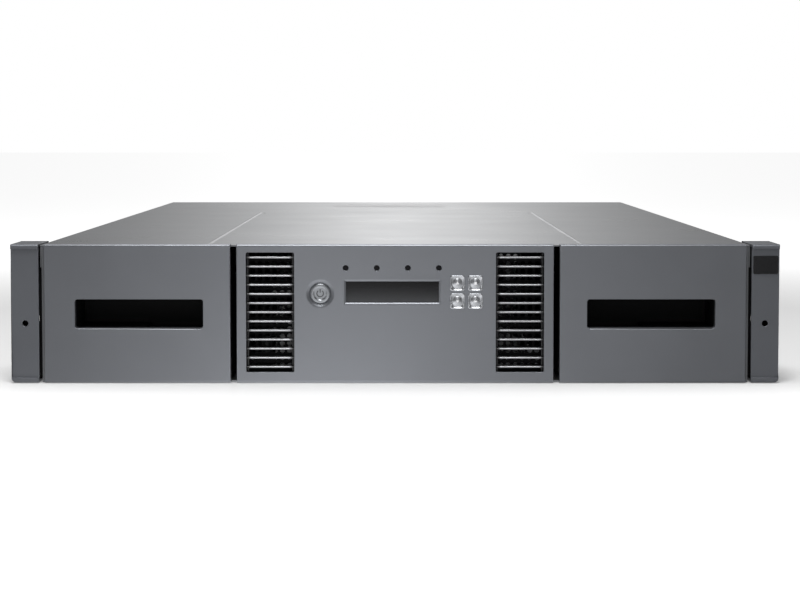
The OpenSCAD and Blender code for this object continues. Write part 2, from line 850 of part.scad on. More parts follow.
switch_h = 3;
switch_w = 6;
header_w = 40;
header_h = 6;
key_travel = 0.8;
module panel_board() {
    y0 = front_y + board_in;
    color([0.06, 0.26, 0.16])
        difference() {
            union() {
                along_y(y0, y0 + board_t)
                    rect(-board_w / 2, board_w / 2, board_z0, board_z1);
                for (p = concat(key_points, [[power_x, power_z]]))
                    translate([p[0], 0, p[1]])
                        along_y(y0 - switch_h, y0 + eps)
                            square(switch_w, center = true);
                // Connector for the cable to the controller.
                box(-header_w / 2, header_w / 2, y0 + board_t - eps, y0 + board_t + 5,
                    board_z0 + 4, board_z0 + 4 + header_h);
            }
            for (p = boss_points)
                translate([p[0], 0, p[1]])
                    rod_y(screw_pilot_r + 0.4, y0 - over, y0 + board_t + over);
        }
}

key_back_y = front_y + board_in - switch_h - key_travel - 0.1;
key_flange = 0.9;
module key_cap(p) {
    color([0.72, 0.73, 0.75])
        translate([p[0], 0, p[1]]) {
            difference() {
                along_y(front_y - key_proud, front_y + front_wall + key_travel + 0.6)
                    round_rect(-key_w / 2, key_w / 2, -key_h / 2, key_h / 2, 0.8);
                // The face dips inside a raised rim, and rises to a dome.
                along_y(front_y - key_proud - over, front_y - key_proud + 0.5)
                    rect(-key_w / 2 + 0.9, key_w / 2 - 0.9, -key_h / 2 + 0.9, key_h / 2 - 0.9);
            }
            intersection() {
                translate([0, front_y - key_proud + 8, 0])
                    sphere(r = 8, $fn = round_fn);
                along_y(front_y - key_proud - over, front_y - key_proud + 0.6)
                    circle(key_w / 2 - 1.2, $fn = round_fn);
            }
            // Retaining flange behind the panel.
            along_y(front_y + front_wall + key_travel - 0.6, front_y + front_wall + key_travel + 0.6)
                rect(-key_w / 2 - key_flange, key_w / 2 + key_flange, -key_h / 2 - key_flange,
                    key_h / 2 + key_flange);
            rod_y(1.8, front_y + front_wall + key_travel, key_back_y);
        }
}

module key_up() { key_cap(key_points[0]); }
module key_down() { key_cap(key_points[1]); }
module key_select() { key_cap(key_points[2]); }
module key_back() { key_cap(key_points[3]); }

module power_button() {
    color([0.60, 0.61, 0.63])
        translate([power_x, 0, power_z]) {
            difference() {
                rod_y(power_d / 2, front_y, front_y + front_wall + key_travel + 0.4);
                rod_y(power_d / 2 - 1, front_y - over, front_y + 0.4);
            }
            rod_y(power_d / 2 - 2, front_y, front_y + 1);
            rod_y(power_d / 2 + 1.2, front_y + front_wall + 0.2, front_y + front_wall + 1.4);
            rod_y(1.8, front_y + front_wall, key_back_y);
        }
}

// Magazines.
grip_x0 = face_x0 + grip_in;
grip_x1 = grip_x0 + grip_w;
grip_z1 = grip_z + grip_h;
module right_magazine_face() {
    color([0.46, 0.47, 0.49])
        difference() {
            front_block(face_x0, face_x1, front_d);
            difference() {
                box(face_x0 + front_wall, face_x1 - front_wall,
                    front_y + front_wall, front_y + front_d + over,
                    front_lift + front_wall, front_z1 - front_wall);
                along_y(front_y, front_y + front_d + 2 * over)
                    round_rect(grip_x0 - 2, grip_x1 + 2, grip_z - 2, grip_z1 + 2, grip_r);
            }
            along_y(front_y - over, front_y + front_d + over)
                round_rect(grip_x0, grip_x1, grip_z, grip_z1, grip_r);
            // Bevel under the window.
            translate([0, front_y, grip_z])
                along_x(grip_x0 + grip_r, grip_x1 - grip_r)
                    polygon([[-over, -1 - over], [2, 1], [-over, 1]]);
        }
}

pocket_wall = 1.6;
pocket_back = 3;
pocket_step = 6;
tray_y0 = front_y + front_d;
cells_y0 = front_y + cell_y0;
tray_y1 = front_y + mag_y1;
cart_in = 4;
stop_x = tray_x0 + cart_l + cart_in;
guide_in = 8;
guide_x = tray_x0 + guide_in;
guide_h = 3.4;
guide_fit = 0.3;
rib_t = 1.6;
cell_window_in = 16;
finger_room_l = 14;
finger_room_h = 12;

module cell_windows(inset) {
    for (i = [0 : columns - 1])
        translate([0, cells_y0 + i * cell_pitch_y, 0])
            round_rect(tray_x0 + inset, tray_x1 - inset - 4, inset, cell_d - inset, 4);
}

module magazine_shell() {
    // Outer wall, dividers and end walls.
    box(tray_x1 - mag_wall, tray_x1, tray_y0, tray_y1, mag_z0, mag_z1);
    for (i = [0 : columns])
        translate([0, cells_y0 + i * cell_pitch_y - divider_t, 0])
            box(tray_x0, tray_x1, 0, divider_t, mag_z0, mag_z1);
    // Roof, shelves and floor, each with windows.
    difference() {
        union() {
            for (k = [1 : rows - 1])
                box(tray_x0, tray_x1, cells_y0 - divider_t, tray_y1,
                    cell_z0 + k * cell_pitch_z - shelf_t, cell_z0 + k * cell_pitch_z);
            box(tray_x0, tray_x1, cells_y0 - divider_t, tray_y1, mag_z1 - mag_roof, mag_z1);
            box(tray_x0, tray_x1, cells_y0 - divider_t, tray_y1, cell_z0 - rib_t, cell_z0);
        }
        along_z(cell_z0 - mag_floor - over, mag_z1 + over)
            cell_windows(cell_window_in);
    }
    // Skirts under the floor, either side of the guide rail and outside.
    for (x = [tray_x0, guide_x + guide_w / 2 + guide_fit, tray_x1 - mag_wall])
        box(x, x + rib_t, cells_y0 - divider_t, tray_y1, mag_z0, cell_z0 - rib_t + eps);
    // Stop ribs behind the cartridges.
    for (i = [0 : columns - 1], f = [0.25, 0.75])
        translate([stop_x, cells_y0 + (i + f) * cell_pitch_y, 0])
            box(0, tray_x1 - stop_x, -1, 1, cell_z0 - rib_t, mag_z1);
}

module grip_box() {
    // Side walls in front of the cells.
    box(tray_x0, tray_x0 + mag_wall, tray_y0, cells_y0, mag_z0, mag_z1);
    box(tray_x0, tray_x1, tray_y0, cells_y0 - divider_t, mag_z1 - mag_roof, mag_z1);
    box(tray_x0, tray_x1, tray_y0, cells_y0 - divider_t, cell_z0 - rib_t, cell_z0);
    // Walls of the pocket behind the window.
    box(grip_x0 - pocket_wall, grip_x1 + pocket_wall, tray_y0, cells_y0 - divider_t,
        grip_z - pocket_step - pocket_wall, grip_z1 + pocket_wall);
    for (x = [grip_x0 - pocket_wall, grip_x1])
        box(x, x + pocket_wall, tray_y0, cells_y0 - divider_t, cell_z0 - eps, mag_z1 - mag_roof + eps);
}

module right_magazine_tray() {
    pocket_y1 = cells_y0 - divider_t - pocket_back;
    grip_mid = grip_x0 + grip_w * 0.46;
    color([0.20, 0.20, 0.21])
        difference() {
            union() {
                magazine_shell();
                grip_box();
            }
            box(grip_x0, grip_x1, tray_y0 - over, pocket_y1, grip_z, grip_z1);
            box(grip_x0, grip_mid, tray_y0 + 6, pocket_y1, grip_z - pocket_step, grip_z + over);
            box(guide_x - guide_w / 2 - guide_fit, guide_x + guide_w / 2 + guide_fit,
                tray_y0, tray_y1 + over, mag_z0 - over, sheet_t + guide_h + guide_fit);
            // Room for the picker's fingers beside each cartridge.
            for (i = [0 : columns], k = [0 : rows - 1])
                translate([0, cells_y0 + i * cell_pitch_y - divider_t / 2,
                        cell_z0 + k * cell_pitch_z + cell_h / 2])
                    box(tray_x0 - over, tray_x0 + finger_room_l, -divider_t, divider_t,
                        -finger_room_h / 2, finger_room_h / 2);
        }
}

notch_depth = 1.5;
module cartridge() {
    difference() {
        along_z(0, cart_h)
            difference() {
                round_rect(0, cart_l, -cart_w / 2, cart_w / 2, 2);
                for (side = [-1, 1])
                    translate([6, side * cart_w / 2])
                        square([6, 2 * notch_depth], center = true);
            }
        // Recess for the label on the face towards the aisle.
        box(-over, 0.4, -cart_w / 2 + 10, cart_w / 2 - 10, 3, cart_h - 3);
        // Hub opening underneath.
        translate([cart_l / 2, 0, -over])
            cylinder(r = 12, h = over + 1.2, $fn = round_fn);
    }
}

// The top cell of the front column stays free for a cartridge that comes in.
module right_cartridges() {
    color([0.10, 0.11, 0.14])
        for (i = [0 : columns - 1], k = [0 : (i == 0 ? rows - 2 : rows - 1)])
            translate([stop_x - cart_l, cells_y0 + i * cell_pitch_y + cell_d / 2,
                    cell_z0 + k * cell_pitch_z])
                cartridge();
}

guide_seat = 0.3;
guide_foot_w = 9;
module right_guide() {
    color([0.16, 0.16, 0.17])
        along_y(front_y + front_d + 6, front_y + mag_y1 + 4) {
            rect(guide_x - guide_w / 2, guide_x + guide_w / 2, sheet_t, sheet_t + guide_h);
            rect(guide_x - guide_w / 2, guide_x + guide_w / 2 + guide_foot_w, sheet_t,
                mag_z0 - guide_seat);
            rect(wall_x0 - guide_foot_w, wall_x0, sheet_t, mag_z0 - guide_seat);
        }
}

// The robot's way along the aisle.
rod_y0 = front_y + front_d + 12;
rod_y1 = front_y + drive_y - 4;
rod_block = 5;
module guide_rod() {
    color([0.75, 0.76, 0.78])
        translate([rod_x, 0, rod_z])
            rod_y(rod_r, rod_y0, rod_y1);
    color([0.75, 0.76, 0.78])
        for (y = [rod_y0, rod_y1 - rod_block])
            difference() {
                box(rod_x - rod_block, rod_x + rod_block, y, y + rod_block, sheet_t,
                    rod_z + rod_r + 1.2);
                translate([rod_x, 0, rod_z])
                    rod_y(rod_r - eps, y - over, y + rod_block + over);
            }
}

rack_z1 = sheet_t + 6;
rack_w = 6;
rack_pitch = PI * gear_m;
rack_teeth = floor((rod_y1 - rod_y0) / rack_pitch) - 1;
rack_first = ceil((rod_y0 - robot_y - pinion_dy) / rack_pitch) + 1;
module travel_rack() {
    a = tooth_half(-tooth_in);
    b = tooth_half(tooth_out);
    color([0.82, 0.82, 0.80])
        along_z(sheet_t, rack_z1)
            polygon(concat(
                [for (k = [rack_first : rack_first + rack_teeth - 1],
                    p = [[-tooth_in, -a], [tooth_out, -b], [tooth_out, b], [-tooth_in, a]])
                    [rack_x1 + p[0], robot_y + pinion_dy + k * rack_pitch + p[1]]],
                [
                    [rack_x1 - rack_w,
                        robot_y + pinion_dy + (rack_first + rack_teeth - 1) * rack_pitch + a],
                    [rack_x1 - rack_w, robot_y + pinion_dy + rack_first * rack_pitch - a]
                ]));
}

shoe_gap = 0.3;
shoe_t = 1.4;
bearing_l = 16;
bearing_half = 6;
beam_half = 36;
hub_r = 9;
shaft_r = 1.5;
shaft_clear = 0.5;
// The pillar that holds the turning motor over its pinion, clear of the turning robot.
module motor_bracket() {
    translate([turn_dx, turn_dy, 0])
        difference() {
            box(-motor_r, rod_x - bearing_half - turn_dx + 1, -motor_r, motor_r,
                carriage_z0, motor_z0);
            translate([0, 0, carriage_z0 + carriage_t])
                cylinder(r = turn_pinion_r + 2.2, h = turntable_t + 1, $fn = round_fn);
            translate([-turn_dx, -turn_dy, carriage_z0 - over])
                cylinder(r = turn_r + 0.6, h = motor_z0, $fn = 96);
        }
    box(rod_x - bearing_half - 12, rod_x - bearing_half, turn_dy, -beam_half + eps,
        carriage_z0, carriage_z0 + carriage_t);
}

module robot_carriage() {
    color([0.66, 0.67, 0.69])
        translate([0, robot_y, 0])
            difference() {
                union() {
                    along_z(carriage_z0, carriage_z0 + carriage_t)
                        difference() {
                            union() {
                                circle(turn_r - 2, $fn = 96);
                                rect(rack_x1 + 3, rod_x - bearing_half + eps, -beam_half, beam_half);
                            }
                            for (a = [30 : 60 : 359])
                                rotate(a)
                                    translate([turn_r * 0.62, 0])
                                        circle(carriage_hole_r, $fn = round_fn);
                        }
                    // Bearing blocks on the rod.
                    for (y = [-beam_half, beam_half - bearing_l])
                        box(rod_x - bearing_half, rod_x + bearing_half, y, y + bearing_l,
                            rod_z - rod_r - 0.9, rod_z + rod_r + 1.2);
                    // Shoe over the rack.
                    along_y(-beam_half, beam_half)
                        polygon([
                            [rack_x1 + 2.4, carriage_z0], [rack_x1 + 5, carriage_z0],
                            [rack_x1 + 5, rack_z1 + shoe_gap + shoe_t],
                            [rack_x1 - rack_w, rack_z1 + shoe_gap + shoe_t],
                            [rack_x1 - rack_w, rack_z1 + shoe_gap],
                            [rack_x1 + 2.4, rack_z1 + shoe_gap]
                        ]);
                    // Arm for the travel motor.
                    box(rack_x1 - 1, rack_x1 + 2 * travel_r - 0.5, pinion_dy - motor_r,
                        -beam_half + eps, rack_z1 + shoe_gap, rack_z1 + shoe_gap + shoe_t);
                    motor_bracket();
                }
                translate([rod_x, 0, rod_z])
                    rod_y(rod_r + running_fit, -beam_half - over, beam_half + over);
                // Bore for the turntable's hub.
                cylinder(r = hub_r + running_fit, h = 20, center = true, $fn = round_fn);
                translate([pinion_x, pinion_dy, 0])
                    cylinder(r = shaft_r + shaft_clear, h = motor_z0 + over, $fn = round_fn);
                translate([turn_dx, turn_dy, 0])
                    cylinder(r = shaft_r + shaft_clear, h = motor_z0 + over, $fn = round_fn);
            }
}

module motor(z0, dx, dy) {
    translate([dx, robot_y + dy, 0]) {
        translate([0, 0, z0])
            cylinder(r = motor_r, h = motor_h, $fn = round_fn);
        translate([0, 0, z0 + motor_h - eps])
            cylinder(r = 2.4, h = 1.2, $fn = round_fn);
    }
}

module travel_motor() {
    color([0.30, 0.31, 0.33])
        motor(rack_z1 + shoe_gap + 1.4, pinion_x, pinion_dy);
}

module turn_motor() {
    color([0.30, 0.31, 0.33])
        motor(motor_z0, turn_dx, turn_dy);
}

module travel_pinion() {
    color([0.80, 0.66, 0.34])
        translate([pinion_x, robot_y + pinion_dy, 0]) {
            along_z(2, rack_z1 - 0.4)
                rotate(180 + 180 / travel_teeth)
                    gear_outline(travel_teeth);
            translate([0, 0, 2])
                cylinder(r = shaft_r, h = rack_z1 + shoe_gap + 1.3 - 2, $fn = round_fn);
        }
}

module turn_pinion() {
    color([0.80, 0.66, 0.34])
        translate([turn_dx, robot_y + turn_dy, 0]) {
            along_z(turntable_z0, turntable_z1)
                rotate(turn_angle + 180 + 180 / turn_teeth)
                    gear_outline(turn_teeth);
            translate([0, 0, turntable_z0])
                cylinder(r = shaft_r, h = motor_z0 - turntable_z0 - 0.1, $fn = round_fn);
        }
}

module turntable() {
    color([0.52, 0.53, 0.55])
        translate([0, robot_y, 0]) {
            difference() {
                along_z(turntable_z0, turntable_z1)
                    rotate(turn_angle)
                        gear_outline(turntable_teeth);
                for (x = [-post_x, post_x], y = [-post_dy, post_dy])
                    translate([x, y, 0])
                        cylinder(r = post_r, h = 20, $fn = round_fn);
                translate([post_x, 0, 0])
                    cylinder(r = screw_r + running_fit, h = 20, $fn = round_fn);
                for (a = [0 : 90 : 359])
                    rotate(a + 45)
                        translate([turn_r * 0.5, 0, 0])
                            cylinder(r = turntable_hole_r, h = 20, $fn = round_fn);
            }
            translate([0, 0, carriage_z0 - 1])
                cylinder(r = hub_r, h = turntable_z0 - carriage_z0 + 1 + eps, $fn = round_fn);
        }
}

bridge_t = 1.2;
post_z1 = cover_z0 - 0.6;
module lift_posts() {
    color([0.75, 0.76, 0.78])
        translate([0, robot_y, 0])
            for (side = [-1, 1])
                translate([side * post_x, 0, 0])
                    difference() {
                        union() {
                            for (y = [-post_dy, post_dy])
                                translate([0, y, turntable_z0])
                                    cylinder(r = post_r, h = post_z1 - turntable_z0, $fn = round_fn);
                            along_z(post_z1 - bridge_t, post_z1)
                                round_rect(-lug_r, lug_r, -post_dy - lug_r, post_dy + lug_r, lug_r - eps);
                        }
                        if (side > 0)
                            cylinder(r = screw_r + running_fit, h = 2 * post_z1, $fn = round_fn);
                    }
}

module lift_screw() {
    color([0.70, 0.70, 0.66])
        translate([post_x, robot_y, turntable_z0])
            cylinder(r = screw_r, h = post_z1 - turntable_z0, $fn = round_fn);
}

// The picker that holds one cartridge.
reach_half = cart_w / 2 + 2.5;
frame_half = reach_half + reach_t + 0.3 + picker_t;
frame_h = picker_t + 0.2 + reach_t + cart_h + 0.8 + picker_t;
frame_back = -cart_l / 2 - 11;
picker_edge = 20;
picker_window_r = 8;
// Everything that turns with the robot stays inside this round.
module turning_round(z0, z1) {
    translate([0, 0, z0])
        cylinder(r = turn_r - 0.4, h = z1 - z0, $fn = 128);
}

module picker_frame() {
    z1 = picker_z0 + frame_h;
    color([0.24, 0.25, 0.27])
        translate([0, robot_y, 0])
            difference() {
                union() {
                    intersection() {
                        along_y(frame_back, cart_front + 1)
                            difference() {
                                rect(-frame_half, frame_half, picker_z0, z1);
                                rect(-frame_half + picker_t, frame_half - picker_t,
                                    picker_z0 + picker_t, z1 - picker_t);
                            }
                        turning_round(picker_z0, z1);
                    }
                    // Lugs on the posts and the screw.
                    for (side = [-1, 1])
                        along_z(picker_z0, picker_z0 + lug_h)
                            round_rect(side > 0 ? frame_half - eps : -post_x - lug_r,
                                side > 0 ? post_x + lug_r : -frame_half + eps,
                                -post_dy - lug_r, post_dy + lug_r, 3);
                }
                along_z(z1 - picker_t - over, z1 + over)
                    round_rect(-frame_half + picker_edge, frame_half - picker_edge,
                        -cart_l / 2 + picker_edge, cart_l / 2 - picker_edge, picker_window_r);
                for (x = [-post_x, post_x], y = [-post_dy, post_dy])
                    translate([x, y, 0])
                        cylinder(r = post_r + running_fit, h = z1 + over, $fn = round_fn);
                translate([post_x, 0, 0])
                    cylinder(r = screw_r + running_fit, h = z1 + over, $fn = round_fn);
            }
}

tray_side_h = 9;
module reach_tray() {
    z0 = picker_z0 + picker_t + 0.2;
    color([0.70, 0.71, 0.73])
        translate([0, robot_y, 0])
            intersection() {
                difference() {
                    along_y(frame_back, cart_front)
                        difference() {
                            rect(-reach_half - reach_t, reach_half + reach_t,
                                z0, z0 + tray_side_h);
                            rect(-reach_half, reach_half, z0 + reach_t, z0 + tray_side_h + over);
                        }
                    along_z(z0 - over, z0 + reach_t + over)
                        round_rect(-reach_half + picker_edge, reach_half - picker_edge,
                            -cart_l / 2 + picker_edge, cart_l / 2 - picker_edge, picker_window_r);
                }
                turning_round(z0, z0 + tray_side_h);
            }
}

finger_t = 1;
finger_gap = 0.3;
finger_l = 12;
finger_h = 8;
bar_t = 2;
bar_h = 12;
bar_gap = 0.6;
block_w = 18;
block_h = 18;
module gripper() {
    z0 = picker_z0 + picker_t + 0.2 + reach_t + 0.3;
    bar_y1 = cart_front - cart_l - bar_gap;
    finger_x0 = cart_w / 2 + finger_gap;
    color([0.85, 0.62, 0.20])
        translate([0, robot_y, 0])
            intersection() {
                union() {
                    box(-finger_x0 - finger_t, finger_x0 + finger_t, bar_y1 - bar_t, bar_y1,
                        z0, z0 + bar_h);
                    box(-block_w / 2, block_w / 2, -turn_r, bar_y1 - bar_t + eps, z0, z0 + block_h);
                    for (side = [-1, 1])
                        translate([side * (finger_x0 + finger_t / 2), 0, 0])
                            box(-finger_t / 2, finger_t / 2, bar_y1 - bar_t, bar_y1 + finger_l,
                                z0 + bar_h - finger_h, z0 + bar_h);
                }
                turning_round(z0, z0 + block_h);
            }
}

// Rear bay: two drives on their sleds.
runner_t = 1;
runner_groove = 2.6;
bay_foot = 8;
module drive_bay() {
    color([0.58, 0.59, 0.61])
        for (side = [-1, 1])
            mirror([side < 0 ? 1 : 0, 0, 0]) {
                box(bay_x, bay_x + bay_t, front_y + drive_y, rear_y - sheet_t,
                    sheet_t, cover_z0 - sheet_t);
                for (z = [lower_z, upper_z])
                    for (dz = [-runner_groove / 2 - runner_t, runner_groove / 2])
                        box(bay_x - runner_w, bay_x + eps, front_y + drive_y + 4, rear_y - sheet_t,
                            z + runner_dz + dz, z + runner_dz + dz + runner_t);
                // Foot on the base.
                box(bay_x + bay_t - eps, bay_x + bay_t + bay_foot, front_y + drive_y + 10,
                    rear_y - sheet_t - 10, sheet_t, sheet_t + bay_t);
            }
}

fan_x = -drive_w / 2 + 27;
fan_wall = 3;
connector_xs = [34, 60];
connector_w = 22;
connector_h = 10;
connector_rim = 2;
thumb_r = 4.2;
thumb_l = 10;
pull_w = 36;
pull_t = 4;
pull_z0 = 14;
pull_z1 = 26;
sled_plate_t = 1.2;
sled_plate_w = bay_x + 3;
sled_head = 0.3;
module sled(z0) {
    y0 = front_y + drive_y + 20;
    fan_y = rear_y - fan_depth - 2;
    translate([0, 0, z0]) {
        difference() {
            union() {
                for (side = [-1, 1])
                    translate([side * (sled_x - sled_side_t / 2), 0, 0]) {
                        box(-sled_side_t / 2, sled_side_t / 2, y0, rear_y + eps,
                            0, drive_h - sled_head);
                        translate([side * (sled_side_t / 2 + runner_w / 2), 0, 0])
                            box(-runner_w / 2 - eps, runner_w / 2, y0, rear_y - 2,
                                runner_dz - 1, runner_dz + 1);
                    }
                box(-sled_plate_w, sled_plate_w, rear_y, rear_y + sled_plate_t,
                    0, drive_h - sled_head);
                // Frame of the fan.
                box(fan_x - fan_r - fan_wall, fan_x + fan_r + fan_wall, fan_y, rear_y + eps,
                    sled_head, drive_h - 2 * sled_head);
                // Handle.
                difference() {
                    box(-pull_w / 2, pull_w / 2, rear_y + sled_plate_t - eps, rear_y + handle_d,
                        pull_z0, pull_z1);
                    box(-pull_w / 2 + pull_t, pull_w / 2 - pull_t, rear_y,
                        rear_y + handle_d - pull_t + 1, pull_z0 - over, pull_z1 + over);
                }
                // Data connectors.
                for (x = connector_xs)
                    box(x - connector_w / 2, x + connector_w / 2, rear_y - 6,
                        rear_y + sled_plate_t + 1.3, drive_h / 2 - connector_h / 2,
                        drive_h / 2 + connector_h / 2);
            }
            translate([fan_x, 0, drive_h / 2])
                rod_y(fan_r + fan_clear, fan_y - over, rear_y + eps);
            translate([fan_x, 0, drive_h / 2])
                along_y(rear_y - over, rear_y + 2)
                    guard_slots(fan_r);
            for (x = connector_xs)
                box(x - connector_w / 2 + connector_rim, x + connector_w / 2 - connector_rim,
                    rear_y - 4, rear_y + 4, drive_h / 2 - connector_h / 2 + connector_rim,
                    drive_h / 2 + connector_h / 2 - connector_rim);
        }
        translate([fan_x, rear_y - fan_depth / 2 - 2, drive_h / 2])
            fan_stator();
        // Captive thumbscrews.
        for (side = [-1, 1])
            translate([side * (sled_x - 6), 0, drive_h / 2 + 13])
                difference() {
                    rod_y(thumb_r, rear_y + sled_plate_t - eps, rear_y + sled_plate_t + thumb_l);
                    box(-0.5, 0.5, rear_y + sled_plate_t + thumb_l - 1.5, rear_y + 2 * thumb_l,
                        -thumb_r, thumb_r);
                }
    }
}

module upper_sled() { color([0.60, 0.61, 0.63]) sled(upper_z); }
module lower_sled() { color([0.60, 0.61, 0.63]) sled(lower_z); }

mouth_d = 30;
mouth_z = 8;
mouth_side = 1;
lid_in = 6;
lid_y = 40;
module tape_drive(z0) {
    y0 = front_y + drive_y;
    translate([0, y0, z0])
        difference() {
            box(-drive_w / 2, drive_w / 2, 0, drive_l, 0, drive_h);
            // Cartridge mouth in the drive's face.
            box(-cart_w / 2 - mouth_side, cart_w / 2 + mouth_side, -over, mouth_d,
                mouth_z, mouth_z + cart_h + 2 * mouth_side);
            // Stepped top cover of the drive.
            box(-drive_w / 2 + lid_in, drive_w / 2 - lid_in, lid_y, drive_l + over,
                drive_h - 1, drive_h + over);
        }
}

module upper_drive() { color([0.35, 0.36, 0.38]) tape_drive(upper_z); }
module lower_drive() { color([0.35, 0.36, 0.38]) tape_drive(lower_z); }

module sled_fan(z0) {
    color([0.12, 0.12, 0.13])
        translate([fan_x, rear_y - fan_depth / 2 - 2, z0 + drive_h / 2])
            fan_rotor();
}

module upper_sled_fan() { sled_fan(upper_z); }
module lower_sled_fan() { sled_fan(lower_z); }

psu_fan_x = psu_x + psu_w / 2 - fan_r - 6;
inlet_w = 27.5;
inlet_h = 20;
inlet_d = 22;
inlet_x = psu_x - psu_w / 2 + inlet_w / 2 + 10;
psu_mid = psu_z + psu_h / 2;
psu_flange = 5;
psu_plate_t = 1;
loop_w = 6;
loop_h = 30;
loop_d = 14;
loop_t = 3;
intake_count = 7;
intake_pitch = 12;
module power_supply() {
    color([0.64, 0.65, 0.67])
        translate([psu_fan_x, rear_y - fan_depth / 2 - 2, psu_mid])
            fan_stator();
    color([0.64, 0.65, 0.67])
        difference() {
            union() {
                box(psu_x - psu_w / 2, psu_x + psu_w / 2, rear_y - psu_l, rear_y + eps,
                    psu_z, psu_z + psu_h);
                box(psu_x - psu_w / 2 - psu_flange, psu_x + psu_w / 2 + psu_flange,
                    rear_y, rear_y + psu_plate_t, psu_z + 0.4, psu_z + psu_h + psu_flange);
                // Pull loop.
                difference() {
                    box(psu_x - loop_w / 2, psu_x + loop_w / 2, rear_y + psu_plate_t - eps,
                        rear_y + loop_d, psu_mid - loop_h / 2, psu_mid + loop_h / 2);
                    box(psu_x - loop_w, psu_x + loop_w, rear_y, rear_y + loop_d - loop_t,
                        psu_mid - loop_h / 2 + loop_t, psu_mid + loop_h / 2 - loop_t);
                }
            }
            translate([psu_fan_x, 0, psu_mid])
                rod_y(fan_r + fan_clear, rear_y - fan_depth - 4, rear_y);
            translate([psu_fan_x, 0, psu_mid])
                along_y(rear_y - over, rear_y + 2)
                    guard_slots(fan_r);
            box(inlet_x - inlet_w / 2, inlet_x + inlet_w / 2, rear_y - inlet_d, rear_y + over + 1,
                psu_mid - inlet_h / 2, psu_mid + inlet_h / 2);
            for (p = rear_screw_points)
                translate([p[0], 0, p[1]])
                    rod_y(pan_shank_r + 0.1, rear_y - over, rear_y + 2);
            // Air slots in the inner end.
            for (i = [0 : intake_count - 1])
                translate([psu_x + (i - (intake_count - 1) / 2) * intake_pitch,
                        rear_y - psu_l, psu_mid])
                    box(-intake_pitch / 6, intake_pitch / 6, -over, 8, -psu_h * 0.3, psu_h * 0.3);
        }
}

module supply_fan() {
    color([0.12, 0.12, 0.13])
        translate([psu_fan_x, rear_y - fan_depth / 2 - 2, psu_mid])
            fan_rotor();
}

module power_inlet() {
    fit = 0.1;
    color([0.09, 0.09, 0.10])
        translate([inlet_x, 0, psu_mid]) {
            difference() {
                along_y(rear_y - inlet_d + 0.5, rear_y + 2.5)
                    round_rect(-inlet_w / 2 + fit, inlet_w / 2 - fit,
                        -inlet_h / 2 + fit, inlet_h / 2 - fit, 1);
                along_y(rear_y - 16, rear_y + 4)
                    polygon([
                        [-12, -8.2], [12, -8.2], [12, 4], [7.5, 8.2], [-7.5, 8.2], [-12, 4]
                    ]);
            }
            for (p = [[-7, 1], [7, 1], [0, -3.5]])
                translate([p[0], 0, p[1]])
                    box(-1, 1, rear_y - 17, rear_y - 1.5, -2, 2);
        }
}

card_w = 118;
card_l = 190;
card_plate_h = 34;
card_in = 6;
standoff_in = 11;
standoff_r = 3;
chip_w = 32;
chip_small = [12, 8];
chip_pitch = 14;
can_r = 5;
can_h = 12;
can_pitch = 16;
port_z = card_z + board_t;
standoffs = [for (x = [-card_w / 2 + standoff_in, card_w / 2 - standoff_in],
    y = [rear_y - card_l + standoff_in, rear_y - standoff_in - 3]) [card_x + x, y]];
module controller_card() {
    parts_y = rear_y - card_l * 0.7;
    color([0.06, 0.28, 0.18])
        difference() {
            union() {
                box(card_x - card_w / 2 + card_in, card_x + card_w / 2 - card_in,
                    rear_y - card_l, rear_y - 3, card_z, port_z);
                // Posts on the base.
                for (p = standoffs)
                    translate([p[0], p[1], sheet_t])
                        cylinder(r = standoff_r, h = card_z - sheet_t + eps, $fn = round_fn);
                // Processor, memory and power parts.
                box(card_x - chip_w / 2, card_x + chip_w / 2, parts_y, parts_y + chip_w,
                    port_z - eps, port_z + 3);
                for (i = [0 : 3])
                    translate([card_x + card_w * 0.22, parts_y + i * chip_pitch, 0])
                        box(0, chip_small[0], 0, chip_small[1], port_z - eps, port_z + 1.4);
                for (i = [0 : 2])
                    translate([card_x - card_w * 0.3, parts_y + i * can_pitch, port_z - eps])
                        cylinder(r = can_r, h = can_h, $fn = round_fn);
            }
            for (p = standoffs)
                translate([p[0], p[1], -over])
                    cylinder(r = screw_pilot_r, h = 20, $fn = round_fn);
        }
}

module controller_plate() {
    color([0.66, 0.67, 0.69])
        difference() {
            box(card_x - card_w / 2, card_x + card_w / 2, rear_y, rear_y + 1,
                sheet_t + 0.2, card_plate_h);
            port_hole(network_x, network_w, network_h);
            port_hole(usb_x, usb_w, usb_h);
            for (x = [-card_w / 2 + 2.5 + 0.5, card_w / 2 - 2.5 - 0.5])
                translate([card_x + x, 0, card_plate_h / 2])
                    rod_y(pan_shank_r + 0.1, rear_y - over, rear_y + 2);
        }
}

port_dx = 20;
network_x = card_x - port_dx;
network_w = 16;
network_h = 13.5;
usb_x = card_x + port_dx;
usb_w = 13.2;
usb_h = 8;
port_fit = 0.2;
module port_hole(x, w, h) {
    box(x - w / 2 - port_fit, x + w / 2 + port_fit, rear_y - over, rear_y + 2,
        port_z - port_fit, port_z + h + port_fit);
}

module network_port() {
    color([0.72, 0.73, 0.75])
        difference() {
            box(network_x - network_w / 2, network_x + network_w / 2, rear_y - 18, rear_y + 1.4,
                port_z, port_z + network_h);
            along_y(rear_y - 13, rear_y + 3) {
                rect(network_x - 5.9, network_x + 5.9, port_z + 2, port_z + 9.5);
                rect(network_x - 3.2, network_x + 3.2, port_z + 9, port_z + 11.5);
            }
        }
}

module usb_port() {
    color([0.72, 0.73, 0.75])
        difference() {
            box(usb_x - usb_w / 2, usb_x + usb_w / 2, rear_y - 14, rear_y + 1.4,
                port_z, port_z + usb_h);
            along_y(rear_y - 10, rear_y + 3)
                rect(usb_x - usb_w / 2 + 0.6, usb_x + usb_w / 2 - 0.6, port_z + 1, port_z + usb_h - 1);
        }
}

